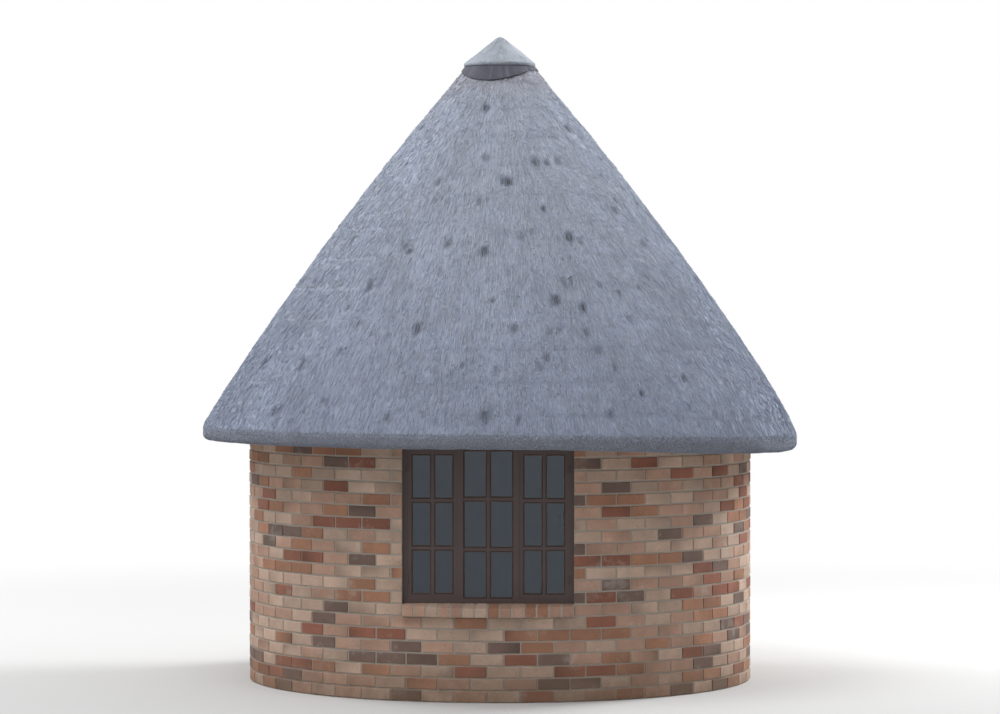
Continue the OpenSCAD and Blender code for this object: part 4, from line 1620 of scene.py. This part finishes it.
    def build(self, material: bpy.types.Material, quarters: tuple[str, ...]) -> None:
        """Builds the bricks in four quarters.

        Args:
            material: The bricks' material.
            quarters: Names of the quarters, in order round the hut.
        """
        rng = np.random.default_rng(81)
        _, faces = chamfered_box((2 * self.course_h, self.depth, self.course_h), self.chamfer)
        colours = np.array([colour for colour, _ in self.mixture])
        often = np.array([share for _, share in self.mixture])
        piles = {name: Pile() for name in quarters}
        courses = round(high("door_lintel", 2) / self.course_h)
        for course in range(courses):
            base = course * self.course_h
            for start, end, gap, after in self._edges(course):
                middle = (start + end) / 2
                if base > self.wall_top - 0.01 and not self._fits_rake(start, end, base):
                    continue
                wide = self.joint / 2 / self.wall_r
                points = self._brick(rng, start - (wide if gap else 0), end + (wide if after else 0), base)
                points = self._squared(self._squared(points, gap), after)
                colour = colours[rng.choice(len(colours), p=often)] * rng.uniform(0.86, 1.14)
                colour = colour * self._flash(rng, len(points))
                quarter = int(((middle + math.pi / 4) % (2 * math.pi)) // (math.pi / 2))
                piles[quarters[quarter]].add(points, faces, colour)
        for name, pile in piles.items():
            pile.build("wall_bricks_" + name, [material], "brick")

    def _fits_rake(self, start: float, end: float, base: float) -> bool:
        """Whether a brick above the wall's top lies in the raised brickwork beside the door."""
        reaches = [abs(self.wall_r * math.cos(a)) for a in (start, end)]
        if min(math.sin(start), math.sin(end)) < 0 or max(reaches) > self.rake_end + 0.01:
            return False
        return self._rake(max(reaches)) > base + self.course_h - self.joint

    def build_sill(self, material: bpy.types.Material) -> None:
        """Lays bricks on edge over the sill, side by side and sloping to its nose."""
        rng = np.random.default_rng(91)
        half = high("window_sill", 0)
        top, bottom = high("window_sill", 2), low("window_sill", 2)
        nose = -low("window_sill", 1)
        back = -low("window_frame", 1)
        pitch = 2 * half / self.sill_bricks
        colours = np.array([colour for colour, _ in self.mixture])
        pile = Pile()
        for k in range(self.sill_bricks):
            x = -half + (k + 0.5) * pitch
            front = math.sqrt(nose ** 2 - x ** 2) + self.sill_past
            length = front - back - self.sill_gap
            points, faces = chamfered_box((pitch - self.joint, length, top - bottom + 0.001), self.chamfer)
            points = points + rng.uniform(-self.face_play, self.face_play, points.shape)
            reach = length / 2 - points[:, 1]
            upper = points[:, 2] > 0
            points[:, 2] -= np.where(upper, self.sill_fall * reach / (nose - back), 0.0)
            points += [x, -(front + back + self.sill_gap) / 2, (top + bottom) / 2 + 0.0015]
            curve = np.sqrt(nose ** 2 - points[:, 0] ** 2) - math.sqrt(nose ** 2 - x ** 2)
            points[:, 1] -= np.where(reach > length / 2, curve, 0.0)
            colour = colours[rng.choice(3)] * rng.uniform(0.85, 1.1)
            pile.add(points, faces, colour)
        pile.build("sill_bricks", [material], "brick")


# Window and door


@dataclass
class SteelWindow:
    """Putty, hinges, handles and stays of the steel window."""

    frame_w: float = 0.035
    mullion_w: float = 0.040
    sash_w: float = 0.028
    bar_w: float = 0.020
    bar_d: float = 0.022
    panes_wide: int = 2
    panes_high: int = 3
    bead: float = 0.009
    rounding: float = 0.004
    room_side: float = 0.014
    plate: Point = (0.018, 0.006, 0.060)
    neck: Point = (0.012, 0.024, 0.016)
    lever: Point = (0.014, 0.010, 0.130)
    lever_drop: float = 0.045
    stay: Point = (0.240, 0.005, 0.014)
    stay_in: float = 0.030
    knuckle: Point = (0.014, 0.012, 0.060)
    knuckle_out: float = 0.026
    knuckles_at: tuple[float, ...] = (0.15, 0.85)

    def __post_init__(self) -> None:
        """Reads the window's place from the frame."""
        self.half = high("window_frame", 0)
        self.bottom, self.top = low("window_frame", 2), high("window_frame", 2)
        self.middle = (low("window_frame", 1) + high("window_frame", 1)) / 2
        self.glass_t = high("window_glass", 1) - low("window_glass", 1)
        self.light_w = (2 * self.half - 2 * self.frame_w - 2 * self.mullion_w) / 3

    def build(self, paint: bpy.types.Material, putty: bpy.types.Material, bare: bpy.types.Material) -> None:
        """Builds the putty of the three lights, and the fittings and hinges of the two casements.

        Args:
            paint: Material of the hinges.
            putty: Material of the putty.
            bare: Material of the handles and stays.
        """
        beads, fittings, hinges = Pile(), Pile(), Pile()
        for light in range(3):
            left = -1.5 * self.light_w - self.mullion_w + light * (self.light_w + self.mullion_w)
            edge = 0.0 if light == 1 else self.sash_w
            wide = (self.light_w - 2 * edge - (self.panes_wide - 1) * self.bar_w) / self.panes_wide
            light_h = self.top - self.bottom - 2 * self.frame_w - 2 * edge
            tall = (light_h - (self.panes_high - 1) * self.bar_w) / self.panes_high
            for column in range(self.panes_wide):
                for row in range(self.panes_high):
                    x = left + edge + column * (wide + self.bar_w)
                    z = self.bottom + self.frame_w + edge + row * (tall + self.bar_w)
                    self._beads(beads, x, x + wide, z, z + tall)
        beads.build("window_putty", [putty], "window_paint")
        self._fittings(fittings)
        fittings.build("window_fittings", [bare], "handle_steel")
        self._hinges(hinges)
        hinges.build("window_hinges", [paint], "window_paint")

    def _beads(self, pile: Pile, x0: float, x1: float, z0: float, z1: float) -> None:
        """Putty round one pane, on the outside of the glass."""
        y1 = self.middle - self.glass_t / 2
        y0 = self.middle - self.bar_d / 2 + 0.001
        bead = self.bead
        self._bead(pile, (x0, y0, z0), (x0 + bead, y1, z1))
        self._bead(pile, (x1 - bead, y0, z0), (x1, y1, z1))
        self._bead(pile, (x0, y0, z0), (x1, y1, z0 + bead))
        self._bead(pile, (x0, y0, z1 - bead), (x1, y1, z1))

    def _bead(self, pile: Pile, start: Point, end: Point) -> None:
        """Adds one bead of putty between two corners."""
        ends = np.array([start, end])
        points, faces = chamfered_box(tuple(ends[1] - ends[0]), self.rounding)
        pile.add(points + ends.mean(axis=0), faces)

    @staticmethod
    def _block(pile: Pile, size: Point, start: Point, chamfer: float = 0.002) -> None:
        """Adds a bevelled block that begins at a place in Y, with its middle at one in X and Z."""
        points, faces = chamfered_box(size, chamfer)
        pile.add(points + start + [0.0, size[1] / 2, 0.0], faces)

    def _fittings(self, pile: Pile) -> None:
        """A cockspur handle and a peg stay inside each casement."""
        room = self.middle + self.room_side
        z = (self.bottom + self.top) / 2
        rail = self.bottom + self.frame_w + self.sash_w / 2
        for side in (-1, 1):
            x = side * (self.light_w / 2 + self.mullion_w + self.sash_w / 2)
            self._block(pile, self.plate, (x, room, z))
            self._block(pile, self.neck, (x, room + self.plate[1], z))
            lever = (x, room + self.neck[1], z - self.lever_drop)
            self._block(pile, self.lever, lever, self.rounding)
            self._block(pile, self.stay, (x + side * (self.stay_in + self.stay[0] / 2), room, rail))

    def _hinges(self, pile: Pile) -> None:
        """Two knuckles on the outer stile of each casement."""
        for side in (-1, 1):
            x = side * (1.5 * self.light_w + self.mullion_w)
            for share in self.knuckles_at:
                z = self.bottom + share * (self.top - self.bottom)
                self._block(pile, self.knuckle, (x, self.middle - self.knuckle_out, z), self.rounding)


@dataclass
class PlainDoor:
    """Screws, keyhole and hinge leaves of the plain door.

    Attributes:
        screw: Radius of a screw, and how far it stands out.
        screw_in: How far the screws are from the plate's edges, in X and in Z.
        eye: Radius of the keyhole's round part, and how far it stands out.
        leaf_in: How far a hinge leaf's middle is from the door's edge and face.
    """

    plate_w: float = 0.040
    plate_t: float = 0.004
    screw: tuple[float, float] = (0.0035, 0.0015)
    screw_in: tuple[float, float] = (0.008, 0.010)
    eye: tuple[float, float] = (0.0055, 0.0006)
    eye_up: float = 0.045
    slot: Point = (0.005, 0.0012, 0.018)
    slot_up: float = 0.036
    leaf: Point = (0.060, 0.0025, 0.100)
    leaf_in: tuple[float, float] = (0.004, 0.0014)
    leaves_at: tuple[float, ...] = (0.1, 0.5, 0.9)

    def build(self, steel: bpy.types.Material, dark: bpy.types.Material, hinge: bpy.types.Material) -> None:
        """Builds the door's small fittings.

        Args:
            steel: Material of the screws.
            dark: Material of the keyhole, black: painted shade in the hole.
            hinge: Material of the hinge leaves.
        """
        screws, hole, leaves = Pile(), Pile(), Pile()
        left, bottom, top = low("door_handle", 0), low("door_handle", 2), high("door_handle", 2)
        face = high("door_leaf", 1) + self.plate_t
        for x in (left + self.screw_in[0], left + self.plate_w - self.screw_in[0]):
            for z in (bottom + self.screw_in[1], top - self.screw_in[1]):
                screws.add(*self._stud((x, face, z), *self.screw))
        screws.build("door_plate_screws", [steel], "handle_steel")
        middle = left + self.plate_w / 2
        # The keyhole is a black stud and slot: painted shade where the hole is
        hole.add(*self._stud((middle, face, bottom + self.eye_up), *self.eye))
        points, faces = chamfered_box(self.slot, 0.0004)
        hole.add(points + [middle, face, bottom + self.slot_up], faces)
        hole.build("door_keyhole_painted_shade", [dark], "hinge_steel")
        foot, head = low("door_leaf", 2), high("door_leaf", 2)
        x, y = high("door_leaf", 0) - self.leaf_in[0], low("door_leaf", 1) - self.leaf_in[1]
        points, faces = chamfered_box(self.leaf, 0.0008)
        for share in self.leaves_at:
            leaves.add(points + [x, y, foot + share * (head - foot)], faces)
        leaves.build("door_hinge_leaves", [hinge], "hinge_steel")

    @staticmethod
    def _stud(place: Point, radius: float, proud: float) -> Mesh:
        """A small round stud that stands out along Y."""
        rings = np.array([radius, radius, radius * 0.8])
        points, faces = lathe(rings, np.array([-0.001, -0.001, proud * 0.6, proud, proud]), 16)
        return points[:, [0, 2, 1]] * [1, 1, -1] + place, faces


# Studio


@dataclass(frozen=True)
class Lamp:
    """A soft square lamp: its name, its place, the length of its side and its power."""

    name: str
    place: Point
    side: float
    power: float


@dataclass
class Studio:
    """Pale floor, soft lamps and the camera at the picture's viewing angle."""

    camera_away: float = 28.0
    camera_z: float = 2.84
    camera_turn: float = math.radians(2.75)
    frame_height: float = 5.30
    picture: tuple[int, int] = (1000, 714)
    floor_r: float = 70.0
    floor_fade: tuple[float, float] = (3.0, 13.0)
    horizon_light: float = 0.13
    zenith_light: float = 1.12
    lamps_at: Point = (0.0, 0.0, 2.2)
    lamps: tuple[Lamp, ...] = (
        Lamp("key", (9.0, 6.5, 8.0), 4.0, 1850.0), Lamp("sky", (-4.0, -5.0, 13.0), 8.0, 860.0),
        Lamp("rim", (-10.0, 6.0, 8.0), 5.0, 850.0), Lamp("fill", (-10.0, -14.0, 6.0), 9.0, 140.0))

    def build(self) -> None:
        """Builds the whole studio."""
        self._floor()
        self._world()
        for lamp in self.lamps:
            self._hang(lamp)
        self._camera()
        bpy.context.scene.view_settings.view_transform = "Standard"

    def _bright_rays(self, graph: Graph) -> Socket:
        """1 for the rays that show the background: from the camera, in gloss and through glass.

        Light that a matt surface has scattered, as in the room, sees the softer sky instead.
        """
        path = graph.add("LightPath")
        shiny = graph.math("MAXIMUM", path.outputs["Is Glossy Ray"], path.outputs["Is Transmission Ray"])
        shows = graph.math("MAXIMUM", path.outputs["Is Camera Ray"], shiny)
        direct = graph.math("LESS_THAN", path.outputs["Diffuse Depth"], 0.5)
        return graph.math("MULTIPLY", shows, direct)

    def _floor(self) -> None:
        """A round pale floor that fades to white away from the hut."""
        bpy.ops.mesh.primitive_circle_add(vertices=96, radius=self.floor_r, fill_type="NGON")
        floor = bpy.context.object
        floor.name = "studio_floor"
        floor.location.z = -0.001
        material = bpy.data.materials.new("studio_floor")
        material.use_nodes = True
        graph = Graph(material.node_tree)
        shader = material.node_tree.nodes["Principled BSDF"]
        shader.inputs["Base Color"].default_value = (0.50, 0.50, 0.50, 1.0)
        shader.inputs["Roughness"].default_value = 0.9
        white = graph.add("Emission", {"Color": (1.0, 1.0, 1.0), "Strength": 1.0})
        distance = graph.add("VectorMath", {0: graph.place()}, operation="LENGTH").outputs["Value"]
        start, end = self.floor_fade
        far = graph.add(
            "MapRange", {0: distance, 1: start, 2: end}, interpolation_type="SMOOTHSTEP").outputs[0]
        share = graph.math("MULTIPLY", far, self._bright_rays(graph))
        both = graph.add("MixShader", {0: share, 1: shader.outputs[0], 2: white.outputs[0]})
        graph.feed(material.node_tree.nodes["Material Output"].inputs["Surface"], both.outputs[0])
        floor.data.materials.append(material)

    def _world(self) -> None:
        """White to the eye, and a softer grey as light."""
        world = bpy.data.worlds.new("studio")
        bpy.context.scene.world = world
        world.use_nodes = True
        graph = Graph(world.node_tree)
        upward = graph.add("SeparateXYZ", {0: graph.add("TexCoord").outputs["Generated"]}).outputs[2]
        risen = graph.math("POWER", upward, 2.0)
        sky = graph.between(risen, 0.0, 1.0, self.horizon_light, self.zenith_light)
        strength = graph.add("Mix", {0: self._bright_rays(graph), 2: sky, 3: 1.0}).outputs[0]
        background = world.node_tree.nodes["Background"]
        background.inputs["Color"].default_value = (1.0, 1.0, 1.0, 1.0)
        graph.feed(background.inputs["Strength"], strength)

    def _hang(self, lamp: Lamp) -> None:
        """Hangs a lamp that looks at the middle of the hut, and isn't seen through glass."""
        light = bpy.data.lights.new(lamp.name, "AREA")
        light.size = lamp.side
        light.energy = lamp.power
        hung = bpy.data.objects.new(lamp.name, light)
        hung.location = lamp.place
        hung.rotation_euler = _looking(np.array(self.lamps_at) - np.array(lamp.place))
        hung.visible_transmission = False
        bpy.context.scene.collection.objects.link(hung)

    def _camera(self) -> None:
        """The camera, far off and a little above the eave, with a long lens."""
        data = bpy.data.cameras.new("camera")
        camera = bpy.data.objects.new("camera", data)
        bpy.context.scene.collection.objects.link(camera)
        middle = (CAD_BOX[0].z + CAD_BOX[1].z) / 2
        x, y = math.sin(self.camera_turn), -math.cos(self.camera_turn)
        place = np.array([self.camera_away * x, self.camera_away * y, self.camera_z])
        aim = np.array([0.0, 0.0, middle]) - place
        camera.location = place
        camera.rotation_euler = _looking(aim)
        width = self.frame_height * self.picture[0] / self.picture[1]
        data.lens = data.sensor_width * float(np.linalg.norm(aim)) / width
        bpy.context.scene.camera = camera


def _looking(aim: np.ndarray) -> tuple[float, float, float]:
    """The turn that points an object's -Z along a direction, with its Y upwards."""
    flat = math.hypot(aim[0], aim[1])
    return math.atan2(flat, -aim[2]), 0.0, math.atan2(-aim[0], aim[1])


# Hut


@dataclass
class Hut:
    """The whole hut: its finishes, and its sub-assemblies in order."""

    def __post_init__(self) -> None:
        """Builds the shared effects."""
        self.effects = Effects()

    def dress(self, nodes: list[str], material: bpy.types.Material) -> None:
        """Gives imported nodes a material.

        Args:
            nodes: Names of the nodes.
            material: Their material.
        """
        for name in nodes:
            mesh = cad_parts[name].data
            mesh.materials.clear()
            mesh.materials.append(material)
            LOG.info("%s: %s", name, material.name)

    def build(self) -> None:
        """Builds and dresses everything."""
        effects = self.effects
        form = RoofForm()
        thatch = Thatch(form)
        # The blue cast of the thatch colours is painted sky light on grey weathered grass
        thatch.build(
            Stalks("weathered thatch", seen(140, 144, 157), 0.95, 0.35, 0.004, tinted=True).make(effects),
            Stalks("sheltered thatch", seen(150, 118, 78), 0.85, 0.7, 0.006).make(effects),
            CutEnds("cut thatch", seen(152, 155, 166), 0.95).make(effects),
            Stalks("grass stalks", seen(140, 144, 157), 0.85, 0.15, 0.001, tinted=True).make(effects))
        Cap().build(Trowelled("cap mortar", seen(158, 164, 174), 0.9).make(effects))
        brick = FaceBrick("face brick", (1, 1, 1), 0.85).make(effects)
        bricks = Brickwork(form.wall_r, form)
        bricks.build(brick, ("right", "back", "left", "front"))
        bricks.build_sill(brick)
        self._dress_masonry()
        self._dress_timber()
        self._dress_openings()

    def _dress_masonry(self) -> None:
        """Finishes of the walls, the floor and the lintels."""
        effects = self.effects
        walls = [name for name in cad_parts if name.startswith("wall_") and name not in (
            "wall_plate", "wall_over_door")]
        wall = WallFinish("wall mortar", seen(168, 160, 150), 0.95, seen(150, 140, 124), 1.74).make(effects)
        self.dress([*walls, "window_sill"], wall)
        plaster = Masonry("plaster", seen(150, 140, 124), 0.9, Grit(2.0, 120.0, 0.12), 0.002).make(effects)
        self.dress(["beam_fill"], plaster)
        floated = Grit(3.0, 260.0, 0.25)
        concrete = Masonry("concrete", seen(158, 153, 146), 0.85, floated, 0.0015).make(effects)
        self.dress(["floor_slab", "door_threshold", "window_lintel", "door_lintel"], concrete)
        coarse = Grit(8.0, 150.0, 0.35)
        infill = Masonry("rough mortar", seen(132, 116, 104), 0.95, coarse, 0.006).make(effects)
        self.dress(["wall_over_door"], infill)
        # The dark felt of the collar is partly real felt and partly painted shade under the cap's rim
        felt = Felt("bitumen felt and painted shade", seen(78, 79, 90), 0.8).make(effects)
        self.dress(["cap_collar"], felt)

    def _dress_timber(self) -> None:
        """Finishes of the poles, the plate and the laths."""
        effects = self.effects
        pole = Wood("gum pole", seen(142, 122, 100), 0.8).make(effects)
        rafters = sorted(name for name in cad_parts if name.startswith("rafter_"))
        self.dress([*rafters, "eyebrow_poles"], pole)
        ring = Wood("bent lath", seen(152, 122, 88), 0.8, Run.ROUND_THE_HUT).make(effects)
        self.dress(["roof_laths", "eave_laths", "eyebrow_laths"], ring)
        sawn = Wood("sawn plate", seen(140, 112, 82), 0.8, Run.ROUND_THE_HUT, spread=0.35).make(effects)
        self.dress(["wall_plate", "apex_hub"], sawn)

    def _dress_openings(self) -> None:
        """Finishes and fittings of the window and the door."""
        effects = self.effects
        steel = Paint("window paint", seen(90, 78, 76), 0.5, seen(110, 66, 44), 0.4).make(effects)
        self.dress(["window_frame", "casement_left", "casement_right"], steel)
        # The glass's bluish body colour is painted sky light
        self.dress(["window_glass"], Glass("window glass", (0.72, 0.80, 0.88), 0.02).make(effects))
        parting = (low("door_leaf", 1) + high("door_leaf", 1)) / 2
        door = Paint(
            "door paint", seen(120, 44, 50), 0.42, seen(128, 96, 72), 0.3, dust_top=0.45,
            room=seen(168, 160, 144), parting=parting).make(effects)
        self.dress(["door_leaf", "door_frame"], door)
        bare = Metal("satin steel", (0.55, 0.55, 0.56), 0.35).make(effects)
        self.dress(["door_handle"], bare)
        hinge = Paint("hinge paint", seen(70, 60, 54), 0.5, seen(110, 66, 44), 0.6).make(effects)
        self.dress(["door_hinges"], hinge)
        putty = Masonry("putty", seen(92, 74, 64), 0.7, Grit(12.0, 200.0, 0.25), 0.0008).make(effects)
        # Black keyhole: painted shade in the hole
        dark = Masonry("keyhole", (0.01, 0.01, 0.01), 0.9).make(effects)
        SteelWindow().build(steel, putty, bare)
        PlainDoor().build(bare, dark, hinge)


def main() -> None:
    """Builds the studio and the hut."""
    logging.basicConfig(level=logging.INFO, format="%(name)s: %(message)s", stream=sys.stdout)
    Studio().build()
    Hut().build()


if __name__ == "__main__":
    main()
